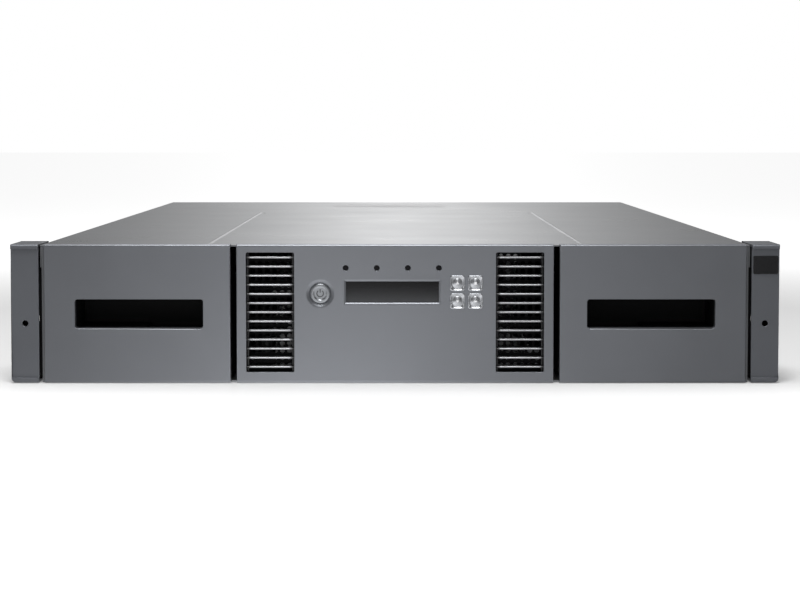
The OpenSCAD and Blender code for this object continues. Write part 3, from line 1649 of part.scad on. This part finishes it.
// Fasteners.
module cover_screws() {
    color([0.70, 0.70, 0.72])
        for (side = [-1, 1], y = side_screw_y)
            translate([side * half_w, front_y + y, cover_z1 - cover_lip / 2])
                mirror([side > 0 ? 1 : 0, 0, 0])
                    flush_screw(cover_t, 3);
}

module flange_screws() {
    color([0.70, 0.70, 0.72])
        for (side = [-1, 1], z = flange_screw_z)
            translate([side * (wall_x1 + flange_t), front_y + flange_screw_in, z])
                rotate([0, 0, side > 0 ? -90 : 90])
                    pan_screw();
}

rear_screw_points = [
    [psu_x - psu_w / 2 - 2.5, psu_z + psu_h / 2],
    [psu_x + psu_w / 2 + 2.5, psu_z + psu_h / 2],
    [card_x - card_w / 2 + 3, card_plate_h / 2],
    [card_x + card_w / 2 - 3, card_plate_h / 2]
];
module rear_screws() {
    color([0.70, 0.70, 0.72])
        for (p = rear_screw_points)
            translate([p[0], rear_y + 1, p[1]])
                pan_screw();
}

base_tray();
top_cover();
rear_panel();
left() right_flange();  // left_flange
right_flange();
left() right_ear();  // left_ear
right_ear();
ear_plate();
front_bezel();
left() right_grille();  // left_grille
right_grille();
display_window();
display_module();
status_lights();
grille_shields();
panel_board();
power_button();
key_up();
key_down();
key_select();
key_back();
left() right_magazine_face();  // left_magazine_face
right_magazine_face();
left() right_magazine_tray();  // left_magazine_tray
right_magazine_tray();
left() right_cartridges();  // left_cartridges
right_cartridges();
left() right_guide();  // left_guide
right_guide();
guide_rod();
travel_rack();
robot_carriage();
travel_motor();
travel_pinion();
turn_motor();
turn_pinion();
turntable();
lift_posts();
lift_screw();
picker_frame();
reach_tray();
gripper();
drive_bay();
upper_sled();
lower_sled();
upper_drive();
lower_drive();
upper_sled_fan();
lower_sled_fan();
power_supply();
power_inlet();
supply_fan();
controller_card();
controller_plate();
network_port();
usb_port();
cover_screws();
flange_screws();
rear_screws();
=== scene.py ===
import json
import math

import bmesh
import bpy
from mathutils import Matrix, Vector

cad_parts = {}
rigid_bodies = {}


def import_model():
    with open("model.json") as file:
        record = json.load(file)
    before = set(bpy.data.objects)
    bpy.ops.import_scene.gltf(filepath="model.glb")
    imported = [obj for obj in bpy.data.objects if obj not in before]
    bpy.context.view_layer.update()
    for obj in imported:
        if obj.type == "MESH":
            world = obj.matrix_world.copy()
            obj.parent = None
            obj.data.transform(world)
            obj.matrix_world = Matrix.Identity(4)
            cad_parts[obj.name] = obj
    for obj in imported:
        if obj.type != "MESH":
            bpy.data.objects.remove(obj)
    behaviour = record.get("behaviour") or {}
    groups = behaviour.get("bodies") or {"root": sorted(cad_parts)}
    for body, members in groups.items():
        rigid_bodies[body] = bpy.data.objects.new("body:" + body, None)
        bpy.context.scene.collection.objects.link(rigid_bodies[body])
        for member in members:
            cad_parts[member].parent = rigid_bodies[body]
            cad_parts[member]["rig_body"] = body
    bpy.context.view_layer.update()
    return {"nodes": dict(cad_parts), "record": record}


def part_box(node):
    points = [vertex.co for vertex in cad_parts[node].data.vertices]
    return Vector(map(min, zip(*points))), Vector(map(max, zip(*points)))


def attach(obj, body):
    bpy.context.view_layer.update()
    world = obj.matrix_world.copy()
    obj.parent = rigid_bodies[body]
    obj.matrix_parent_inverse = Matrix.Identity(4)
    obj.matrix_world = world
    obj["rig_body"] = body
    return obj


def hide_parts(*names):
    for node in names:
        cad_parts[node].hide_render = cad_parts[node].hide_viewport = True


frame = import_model()
nodes = frame["nodes"]
bodyOf = {name: piece["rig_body"] for name, piece in nodes.items()}
print("frame loaded:", len(nodes), "nodes")

cameraView = {
    "distance": 1.2409,  # from the front of the library
    "height": 0.1596,
    "side": 0.0031,
    "tiltDegrees": 3.541,
    "lens": 89.31,
    "shift": -0.06,
}
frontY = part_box("front_bezel")[0].y
lens = bpy.data.cameras.new("camera")
lens.lens = cameraView["lens"]
lens.sensor_width = 36
lens.shift_y = cameraView["shift"]
lens.clip_start, lens.clip_end = 0.05, 60
camera = bpy.data.objects.new("camera", lens)
camera.location = (cameraView["side"], frontY - cameraView["distance"], cameraView["height"])
camera.rotation_euler = (math.radians(90 - cameraView["tiltDegrees"]), 0, 0)
bpy.context.scene.collection.objects.link(camera)
bpy.context.scene.camera = camera
bpy.context.scene.view_settings.view_transform = "Standard"
print("camera placed")


class Flow:
    # one output of a node, with arithmetic that adds Math nodes
    def __init__(self, finish, socket):
        self.finish, self.socket = finish, socket

    def calc(self, operation, first, second):
        return self.finish.node("ShaderNodeMath", {"operation": operation}, {0: first, 1: second})

    def __add__(self, other):
        return self.calc("ADD", self, other)

    def __sub__(self, other):
        return self.calc("SUBTRACT", self, other)

    def __rsub__(self, other):
        return self.calc("SUBTRACT", other, self)

    def __mul__(self, other):
        return self.calc("MULTIPLY", self, other)

    def __rtruediv__(self, other):
        return self.calc("DIVIDE", other, self)

    def __gt__(self, other):
        return self.calc("GREATER_THAN", self, other)

    def __pow__(self, other):
        return self.calc("POWER", self, other)

    __radd__ = __add__
    __rmul__ = __mul__


class Finish:
    # a material with its Principled shader and one way to add any other node
    def __init__(self, name, tree=None):
        self.material = None
        if tree is None:
            self.material = bpy.data.materials.new(name)
            self.material.use_nodes = True
            tree = self.material.node_tree
        tree.nodes.clear()
        self.tree = tree

    def node(self, kind, settings=None, inputs=None, output=0):
        made = self.tree.nodes.new(kind)
        for key, value in (settings or {}).items():
            setattr(made, key, value)
        for key, value in (inputs or {}).items():
            if isinstance(value, Flow):
                self.tree.links.new(value.socket, made.inputs[key])
            else:
                made.inputs[key].default_value = value
        return Flow(self, made.outputs[output])

    def place(self):
        return self.node("ShaderNodeTexCoord", output="Object")

    def axis(self, point, name):
        return self.node("ShaderNodeSeparateXYZ", inputs={0: point}, output=name)

    def noise(self, point, scale, detail=3, stretch=(1, 1, 1)):
        moved = self.node("ShaderNodeMapping", inputs={"Vector": point, "Scale": stretch})
        return self.node("ShaderNodeTexNoise", inputs={
            "Vector": moved, "Scale": scale, "Detail": detail})

    def blend(self, share, first, second):
        return self.node("ShaderNodeMix", {"data_type": "RGBA"},
                         {0: share, 6: first, 7: second}, output=2)

    def spread(self, value, low, high, newLow=0.0, newHigh=1.0):
        return self.node("ShaderNodeMapRange", inputs={
            0: value, 1: low, 2: high, 3: newLow, 4: newHigh})

    def deliver(self, shader):
        output = self.tree.nodes.new("ShaderNodeOutputMaterial")
        self.tree.links.new(shader.socket, output.inputs[0])
        return self.material

    def surface(self, color, **values):
        named = {key.replace("_", " "): value for key, value in values.items()}
        return self.deliver(self.node(
            "ShaderNodeBsdfPrincipled", inputs={"Base Color": color, **named}, output="BSDF"))


def tone(*color):
    return (*color, 1.0)


# painted and moulded finishes: the grain is its fineness and depth, the drift that of the color
coatings = {
    "face_grey": dict(color=(0.185, 0.193, 0.210), metallic=0.75, roughness=0.38,
                    grain=2600, depth=0.000012, drift=0.05),
    "ear_grey": dict(color=(0.165, 0.173, 0.190), metallic=0.75, roughness=0.38,
                   grain=2600, depth=0.000012, drift=0.05),
    "cover_grey": dict(color=(0.200, 0.206, 0.217), metallic=0.75, roughness=0.30,
                     grain=1800, depth=0.00002, drift=0.06),
    "black_steel": dict(color=(0.006, 0.006, 0.007), metallic=0.0, roughness=0.50,
                      grain=1500, depth=0.00003, gleam=0.12, drift=0.15),
    "black_plastic": dict(color=(0.006, 0.006, 0.007), metallic=0.0, roughness=0.48,
                        grain=1200, depth=0.00003, gleam=0.12, drift=0.12),
    "plate_black": dict(color=(0.008, 0.008, 0.009), metallic=0.0, roughness=0.22,
                      grain=1500, depth=0.000008, drift=0.1),
    "light_pipe": dict(color=(0.003, 0.003, 0.004), metallic=0.0, roughness=0.30,
                     grain=900, depth=0.000004, gleam=0.12, drift=0.1),
    "key_silver": dict(color=(0.40, 0.41, 0.43), metallic=0.8, roughness=0.26,
                     grain=2600, depth=0.000008, drift=0.04),
    "button_grey": dict(color=(0.24, 0.25, 0.265), metallic=0.8, roughness=0.30,
                      grain=2600, depth=0.000008, drift=0.04),
    "cartridge_black": dict(color=(0.022, 0.025, 0.034), metallic=0.0, roughness=0.55,
                          grain=1400, depth=0.00005, drift=0.1),
    "rack_polymer": dict(color=(0.60, 0.59, 0.54), metallic=0.0, roughness=0.45,
                       grain=900, depth=0.00001, drift=0.05),
    "motor_dark": dict(color=(0.045, 0.046, 0.05), metallic=0.3, roughness=0.35,
                     grain=1200, depth=0.00002, drift=0.08),
    "amber_plastic": dict(color=(0.55, 0.28, 0.04), metallic=0.0, roughness=0.42,
                        grain=1200, depth=0.00002, drift=0.06),
    "sign_white": dict(color=(0.86, 0.87, 0.88), metallic=0.0, roughness=0.40,
                     grain=1500, depth=0.000003, drift=0.02),
    "mark_dark": dict(color=(0.035, 0.036, 0.040), metallic=0.0, roughness=0.40,
                    grain=1500, depth=0.000003, drift=0.05),
    "sticker_film": dict(color=(0.30, 0.30, 0.31), metallic=0.0, roughness=0.35,
                       grain=400, depth=0.000004, drift=0.02),
    "drive_grey": dict(color=(0.075, 0.078, 0.084), metallic=0.2, roughness=0.45,
                     grain=1500, depth=0.00003, drift=0.08),
}
# bare metals: the lines are the stretch of the rolling or turning marks, the scale their fineness
metals = {
    "bare_steel": dict(color=(0.50, 0.51, 0.52), roughness=0.34, lines=(1, 0.04, 1), scale=900),
    "bright_steel": dict(color=(0.66, 0.66, 0.67), roughness=0.20, lines=(1, 0.1, 1), scale=900),
    "brass": dict(color=(0.72, 0.50, 0.20), roughness=0.26, lines=(1, 1, 0.1), scale=700),
    "alloy": dict(color=(0.58, 0.59, 0.61), roughness=0.32, lines=(0.06, 1, 1), scale=800),
    "screw_zinc": dict(color=(0.60, 0.60, 0.58), roughness=0.28, lines=(1, 1, 1), scale=900),
}


# where a noise leaves its flat ends, and how broad the clouds of a coating and of a metal are
noiseLow, noiseHigh = 0.3, 0.7
coatingCloud, metalCloud = 14, 30
fineShare, streakShare = 0.35, 0.6
metalDepth = 0.000006


def scaled(color, factor):
    return tone(*[channel * factor for channel in color])


def coating(name, color, metallic, roughness, grain, depth, drift, gleam=0.5):
    finish = Finish(name)
    point = finish.place()
    fine = finish.noise(point, grain, 2)
    broad = finish.noise(point, coatingCloud, 3)
    shade = finish.spread(broad, noiseLow, noiseHigh)
    base = finish.blend(shade, scaled(color, 1 - drift), scaled(color, 1 + drift))
    gloss = finish.spread(fine * fineShare + broad * (1 - fineShare), noiseLow, noiseHigh,
                          roughness * 0.88, roughness * 1.12)
    bump = finish.node("ShaderNodeBump", inputs={"Height": fine, "Strength": 1.0, "Distance": depth})
    return finish.surface(base, Metallic=metallic, Roughness=gloss, Normal=bump,
                          Specular_IOR_Level=gleam)


def bareMetal(name, color, roughness, lines, scale):
    finish = Finish(name)
    point = finish.place()
    streak = finish.noise(point, scale, 3, lines)
    cloud = finish.noise(point, metalCloud, 3)
    shade = finish.spread(streak * streakShare + cloud * (1 - streakShare), noiseLow, noiseHigh)
    base = finish.blend(shade, scaled(color, 0.90), scaled(color, 1.06))
    gloss = finish.spread(streak, noiseLow, noiseHigh, roughness * 0.85, roughness * 1.2)
    bump = finish.node("ShaderNodeBump", inputs={
        "Height": streak, "Strength": 1.0, "Distance": metalDepth})
    return finish.surface(base, Metallic=1.0, Roughness=gloss, Normal=bump)


board = {
    "scale": 260,
    "trackWidth": 0.08,
    "track": (0.03, 0.16, 0.07),
    "field": (0.010, 0.085, 0.035),
    "roughness": 0.32,
}


def circuitBoard():
    finish = Finish("board_green")
    tracks = finish.node("ShaderNodeTexVoronoi", {"feature": "DISTANCE_TO_EDGE"},
                         {"Vector": finish.place(), "Scale": board["scale"]})
    base = finish.blend(tracks > board["trackWidth"], tone(*board["track"]), tone(*board["field"]))
    return finish.surface(base, Metallic=0.0, Roughness=board["roughness"])


screen = {
    # painted shade at the top of the window and painted reflection towards its bottom
    "top": (0.006, 0.006, 0.007),
    "bottom": (0.068, 0.070, 0.074),
    "haze": 60,
    "roughness": (0.06, 0.12),
    "gleam": 0.12,
    "alpha": 0.97,
}


def smokedWindow():
    # dark glass, painted darker at the top as the shade of its recess and paler towards the bottom as
    # a painted reflection
    finish = Finish("window_clear")
    point = finish.place()
    low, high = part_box("display_window")
    haze = finish.noise(point, screen["haze"], 2)
    # painted shade and reflection: share of the paler bottom colour, growing towards the bottom
    shadeToReflection = finish.spread(finish.axis(point, "Z"), low.z, high.z, 1.0, 0.0) ** 2
    gloss = finish.spread(haze, noiseLow, noiseHigh, *screen["roughness"])
    return finish.surface(finish.blend(shadeToReflection, tone(*screen["top"]), tone(*screen["bottom"])),
                          Metallic=0.0, Roughness=gloss, Specular_IOR_Level=screen["gleam"],
                          Alpha=screen["alpha"])


slats = {
    # the bars are paler than the grey the grille shares with the face, a painted highlight; the frame
    # is black as painted shade
    "bar": (0.30, 0.305, 0.315),
    "frame": (0.004, 0.004, 0.005),
    # where the painted shade starts and the frame is painted black, from the ends of the bars
    "fade": (0.0030, 0.0012),
    "metallic": 0.85,
    "grain": 2600,
    "roughness": (0.26, 0.34),
}


def slatsLitAndShaded():
    # painted highlight on the bars, paler than their real grey, and painted shade on the frame at
    # their ends, which is painted black
    finish = Finish("slat_grey")
    low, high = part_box("right_grille")
    point = finish.place()
    across = finish.node("ShaderNodeMath", {"operation": "ABSOLUTE"}, {0: finish.axis(point, "X")})
    fromMiddle = finish.node("ShaderNodeMath", {"operation": "ABSOLUTE"},
                             {0: across - (low.x + high.x) / 2})
    reach = (high.x - low.x) / 2
    # painted shade mask: black towards the frame at the ends of the bars
    ends = finish.spread(fromMiddle, *[reach - inset for inset in slats["fade"]])
    gloss = finish.spread(finish.noise(point, slats["grain"], 2), noiseLow, noiseHigh,
                          *slats["roughness"])
    return finish.surface(finish.blend(ends, tone(*slats["bar"]), tone(*slats["frame"])),
                          Metallic=finish.spread(ends, 0, 1, slats["metallic"], 0.0),
                          Roughness=gloss)


finishes = {name: coating(name, **values) for name, values in coatings.items()}
finishes.update({name: bareMetal(name, **values) for name, values in metals.items()})
finishes["slat_grey"] = slatsLitAndShaded()
finishes["board_green"] = circuitBoard()
finishes["window_clear"] = smokedWindow()

slotOf = {row["node"]: row["material_slot"] for row in frame["record"]["subparts"]}
for name, slot in slotOf.items():
    shown = nodes[name].data.materials
    shown.clear()
    shown.append(finishes[slot])
print("finishes ready:", len(finishes))


def evenNormals(data, limit=50):
    # wide faces keep their own direction, and the narrow strips round them blend between
    facets = [(Vector(face.normal), face.area ** 2, tuple(face.vertices)) for face in data.polygons]
    around = [[] for _ in data.vertices]
    for normal, weight, corners in facets:
        for corner in corners:
            around[corner].append((normal, weight))
    cosine = math.cos(math.radians(limit))
    normals = []
    for own, _, corners in facets:
        for corner in corners:
            total = Vector()
            for normal, weight in around[corner]:
                if normal.dot(own) > cosine:
                    total += normal * weight
            normals.append(total.normalized() if total.length > 0 else own)
    data.normals_split_custom_set(normals)


def addPiece(name, shape, body, finish, replaced=()):
    data = bpy.data.meshes.new(name)
    shape.to_mesh(data)
    shape.free()
    data.materials.append(finishes[finish])
    data.shade_smooth()
    evenNormals(data)
    piece = bpy.data.objects.new(name, data)
    bpy.context.scene.collection.objects.link(piece)
    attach(piece, body)
    if replaced:
        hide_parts(*replaced)


easing = {
    "weld": 0.000004,
    "flatDegrees": 0.4,
    "sharpDegrees": 52,
}


def easedCopy(name, width, longer, segments):
    # the solid again, with its outer edges broken as moulding and bending leave them
    shape = bmesh.new()
    shape.from_mesh(nodes[name].data)
    bmesh.ops.remove_doubles(shape, verts=shape.verts, dist=easing["weld"])
    bmesh.ops.dissolve_limit(shape, angle_limit=math.radians(easing["flatDegrees"]),
                             use_dissolve_boundaries=False, verts=shape.verts, edges=shape.edges)
    sharp = math.radians(easing["sharpDegrees"])
    edges = [edge for edge in shape.edges
             if edge.is_manifold and edge.is_convex and edge.calc_length() > longer
             and edge.calc_face_angle() > sharp]
    bmesh.ops.bevel(shape, geom=edges, offset=width, offset_type="OFFSET", segments=segments,
                    profile=0.5, affect="EDGES", clamp_overlap=False, material=-1)
    addPiece(name + "_eased", shape, bodyOf[name], slotOf[name], (name,))


# width of the broken edge, shortest edge that gets it, segments
easedEdges = {
    "front_bezel": (0.00028, 0.0, 2),
    "left_magazine_face": (0.00030, 0.0, 2),
    "right_magazine_face": (0.00030, 0.0, 2),
    "top_cover": (0.00025, 0.004, 2),
    "left_ear": (0.00030, 0.0, 2),
    "right_ear": (0.00030, 0.0, 2),
    "ear_plate": (0.00015, 0.0, 2),
    "left_grille": (0.00050, 0.0, 3),
    "right_grille": (0.00050, 0.0, 3),
}
for name, (width, longer, segments) in easedEdges.items():
    easedCopy(name, width, longer, segments)
print("edges eased:", len(easedEdges))


def plate(shape, outline, front, back):
    # an outline in the plane of the front, drawn out from front to back
    corners = [shape.verts.new((x, front, z)) for x, z in outline]
    face = shape.faces.new(corners)
    pushed = bmesh.ops.extrude_face_region(shape, geom=[face])["geom"]
    bmesh.ops.translate(shape, vec=(0, back - front, 0),
                        verts=[part for part in pushed if isinstance(part, bmesh.types.BMVert)])
    bmesh.ops.recalc_face_normals(shape, faces=shape.faces)


def turned(shape, profile, centre, steps):
    # a profile of (radius, depth) turned round an axis that points at the viewer
    x, y, z = centre
    points = [shape.verts.new((x + radius, y + depth, z)) for radius, depth in profile]
    edges = [shape.edges.new(pair) for pair in zip(points, points[1:])]
    bmesh.ops.spin(shape, geom=points + edges, cent=centre, axis=(0, 1, 0), dvec=(0, 0, 0),
                   angle=2 * math.pi, steps=steps, use_merge=True, use_duplicate=False)
    bmesh.ops.remove_doubles(shape, verts=shape.verts, dist=powerButton["weld"])
    bmesh.ops.recalc_face_normals(shape, faces=shape.faces)


keyCap = {
    "dome": 0.0031,
    "square": 7,
    "steps": 64,
    "signDepths": (0.00002, 0.0004),
    # share of the square outline, size, depth behind the front
    "rows": [(0, 0.04, 0.00006), (0, 0.3, 0.00010), (0, 0.55, 0.00022), (0, 0.78, 0.00042),
             (0, 0.93, 0.00064), (0, 1.0, 0.00082), (0.12, 1.0, 0.00088), (0.42, 0.97, 0.00080),
             (0.60, 0.96, 0.00040), (0.74, 0.96, 0.00020), (0.88, 0.96, 0.00018),
             (1.0, 0.955, 0.00034), (1.0, 0.985, 0.00068), (1.0, 1.0, 0.00120), (1.0, 1.0, 0.0045)],
}
# outlines of the signs in millimetres
signs = {
    "key_up": [(-0.95, -0.55), (0.95, -0.55), (0, 0.95)],
    "key_down": [(-0.95, 0.55), (0, -0.95), (0.95, 0.55)],
    "key_select": [(-0.75, -0.75), (0.75, -0.75), (0.75, 0.75), (-0.75, 0.75)],
    "key_back": [(-1.15, 0), (-0.15, -0.9), (-0.15, -0.35), (1.1, -0.35), (1.1, 0.35),
                 (-0.15, 0.35), (-0.15, 0.9)],
}
for name, outline in signs.items():
    low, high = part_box(name)
    middle = (low + high) / 2
    halfX, halfZ = (high.x - low.x) / 2, (high.z - low.z) / 2
    cap = bmesh.new()
    rings = []
    for share, size, depth in keyCap["rows"]:
        ring = []
        for i in range(keyCap["steps"]):
            angle = 2 * math.pi * i / keyCap["steps"]
            across, up = math.cos(angle), math.sin(angle)
            power = keyCap["square"]
            square = ((abs(across) / halfX) ** power + (abs(up) / halfZ) ** power) ** (-1 / power)
            reach = size * (keyCap["dome"] * (1 - share) + square * share)
            ring.append(cap.verts.new((middle.x + across * reach, low.y + depth,
                                       middle.z + up * reach)))
        rings.append(ring)
    cap.faces.new(rings[0])
    for inner, outer in zip(rings, rings[1:]):
        for i in range(len(inner)):
            following = (i + 1) % len(inner)
            cap.faces.new((inner[i], inner[following], outer[following], outer[i]))
    cap.faces.new(rings[-1])
    bmesh.ops.recalc_face_normals(cap, faces=cap.faces)
    addPiece(name + "_cap", cap, bodyOf[name], "key_silver", (name,))
    sign = bmesh.new()
    front, back = keyCap["signDepths"]
    plate(sign, [(middle.x + x / 1000, middle.z + z / 1000) for x, z in outline],
          low.y + front, low.y + back)
    addPiece(name + "_sign", sign, bodyOf[name], "sign_white")
print("keys made")

powerButton = {
    "steps": 64,
    "weld": 0.000002,
    "markDepths": (0.00050, 0.0010),
    "arcSteps": 40,
    # radius and depth behind the front, both in millimetres, as the sizes of the mark are
    "profile": [(0, 0.62), (3.5, 0.62), (3.9, 0.54), (4.25, 0.22), (4.55, 0.12), (5.3, 0.12),
                (5.8, 0.22), (6.2, 0.6), (6.45, 1.2), (6.5, 4.0), (0, 4.0)],
    "ringInner": 1.75,
    "ringOuter": 2.35,
    "ringOpen": 38,
    "bar": (0.3, 0.5, 2.75),
}
low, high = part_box("power_button")
middle = Vector(((low.x + high.x) / 2, low.y, (low.z + high.z) / 2))
button = bmesh.new()
turned(button, [(radius / 1000, depth / 1000) for radius, depth in powerButton["profile"]], middle,
       powerButton["steps"])
addPiece("power_button_cap", button, "power_button", "button_grey", ("power_button",))
mark = bmesh.new()
opening, arcSteps = powerButton["ringOpen"], powerButton["arcSteps"]
sweep = [math.radians(90 + opening + (360 - 2 * opening) * i / arcSteps) for i in range(arcSteps + 1)]
outline = [(powerButton["ringOuter"] * math.cos(angle), powerButton["ringOuter"] * math.sin(angle))
           for angle in sweep]
outline += [(powerButton["ringInner"] * math.cos(angle), powerButton["ringInner"] * math.sin(angle))
            for angle in reversed(sweep)]
half, barLow, barHigh = powerButton["bar"]
bar = [(-half, barLow), (half, barLow), (half, barHigh), (-half, barHigh)]
front, back = powerButton["markDepths"]
for shape in (outline, bar):
    plate(mark, [(middle.x + x / 1000, middle.z + z / 1000) for x, z in shape],
          low.y + front, low.y + back)
addPiece("power_button_mark", mark, "power_button", "mark_dark")
print("power button made")

stickerAt = {
    "x": (-0.059, 0.045),
    "y": (0.620, 0.680),  # behind the front
    "lift": 0.00112,  # over the top of the rear panel
}
sticker = bmesh.new()
bmesh.ops.create_grid(sticker, x_segments=8, y_segments=8, size=0.5)
(x0, x1), (y0, y1) = stickerAt["x"], stickerAt["y"]
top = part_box("rear_panel")[1].z + stickerAt["lift"]
for vert in sticker.verts:
    vert.co = Vector((x0 + (vert.co.x + 0.5) * (x1 - x0),
                      frontY + y0 + (vert.co.y + 0.5) * (y1 - y0), top))
addPiece("cover_sticker", sticker, "chassis", "sticker_film")
print("cover dressed")

studio = {
    "floorTone": 0.80,
    # the glow the camera sees of the floor, near the library and far from it, and how far each is
    "glow": (0.06, 0.75),
    "glowReach": (0.38, 0.95),
    "floorSize": 12,
    "mirror": 0.11,
    "mirrorRoughness": 0.05,
    "ambient": 0.36,
    # what polished faces see of the floor: away from the middle, in the middle, its place and width
    "floorPolish": (0.05, 1.80, -0.045, 0.13),
    # and of the backdrop: away from the middle, in the middle, its place and width
    "skyPolish": (0.02, 1.65, 0.0, 0.070),
}


def bell(value, low, high, middle, width):
    offset = (value - middle) * (1 / width)
    return (high - low) / (offset * offset + 1) + low


def studioFloor():
    # white to the camera and fading into the backdrop, with a faint reflection and the soft shadow
    finish = Finish("studio_floor")
    seenRay = finish.node("ShaderNodeLightPath", output="Is Camera Ray")
    glossRay = finish.node("ShaderNodeLightPath", output="Is Glossy Ray")
    point = finish.place()
    reach = finish.node("ShaderNodeVectorMath", {"operation": "LENGTH"}, {0: point}, output="Value")
    away = finish.spread(reach, *studio["glowReach"], *studio["glow"])
    glow = finish.node("ShaderNodeEmission", inputs={
        "Color": tone(1, 1, 1), "Strength": seenRay * away})
    matt = finish.node("ShaderNodeBsdfDiffuse", inputs={"Color": tone(*[studio["floorTone"]] * 3)})
    lit = finish.node("ShaderNodeAddShader", inputs={0: glow, 1: matt})
    gloss = finish.node("ShaderNodeBsdfGlossy", inputs={
        "Color": tone(1, 1, 1), "Roughness": studio["mirrorRoughness"]})
    mixed = finish.node("ShaderNodeMixShader", inputs={0: studio["mirror"], 1: lit, 2: gloss})
    polished = finish.node("ShaderNodeEmission", inputs={
        "Color": tone(1, 1, 1), "Strength": bell(finish.axis(point, "X"), *studio["floorPolish"])})
    return finish.deliver(finish.node("ShaderNodeMixShader", inputs={
        0: glossRay, 1: mixed, 2: polished}))


floorMesh = bmesh.new()
bmesh.ops.create_grid(floorMesh, x_segments=1, y_segments=1, size=studio["floorSize"])
floorData = bpy.data.meshes.new("floor")
floorMesh.to_mesh(floorData)
floorMesh.free()
floorData.materials.append(studioFloor())
floor = bpy.data.objects.new("floor", floorData)
bpy.context.scene.collection.objects.link(floor)

world = bpy.data.worlds.new("studio")
world.use_nodes = True
bpy.context.scene.world = world
sky = Finish("studio", world.node_tree)
openRay = sky.node("ShaderNodeLightPath", output="Is Camera Ray") + \
    sky.node("ShaderNodeLightPath", output="Is Transmission Ray")
glossRay = sky.node("ShaderNodeLightPath", output="Is Glossy Ray")
# the backdrop is brightest in the middle, behind the library and in front of it
direction = sky.node("ShaderNodeTexCoord", output="Generated")
polished = bell(sky.axis(direction, "X"), *studio["skyPolish"])
ambient = studio["ambient"]
strength = ambient + openRay * (1 - ambient) + glossRay * (polished - ambient)
background = sky.node("ShaderNodeBackground", inputs={"Color": tone(1, 1, 1), "Strength": strength})
sky.tree.links.new(background.socket, sky.tree.nodes.new("ShaderNodeOutputWorld").inputs[0])

lamps = {
    "overhead": dict(at=(-0.15, -0.35, 1.45), aim=(-0.05, -0.35, 0), size=(1.7, 0.5), power=12),
    "pool": dict(at=(0.0, -0.95, 1.1), aim=(0, -0.75, 0), size=(0.5, 0.4), power=7),
    "leftSide": dict(at=(-1.7, -1.1, 0.45), aim=(0, -0.3, 0.05), size=(0.25, 0.8), power=3.0),
    "rightSide": dict(at=(1.7, -1.1, 0.45), aim=(0, -0.3, 0.05), size=(0.25, 0.8), power=2.6),
}
for name, lamp in lamps.items():
    light = bpy.data.lights.new(name, "AREA")
    light.shape = "RECTANGLE"
    light.size, light.size_y = lamp["size"]
    light.energy = lamp["power"]
    holder = bpy.data.objects.new(name, light)
    holder.location = lamp["at"]
    ray = Vector(lamp["aim"]) - Vector(lamp["at"])
    holder.rotation_euler = ray.to_track_quat("-Z", "Y").to_euler()
    bpy.context.scene.collection.objects.link(holder)
print("studio lit")
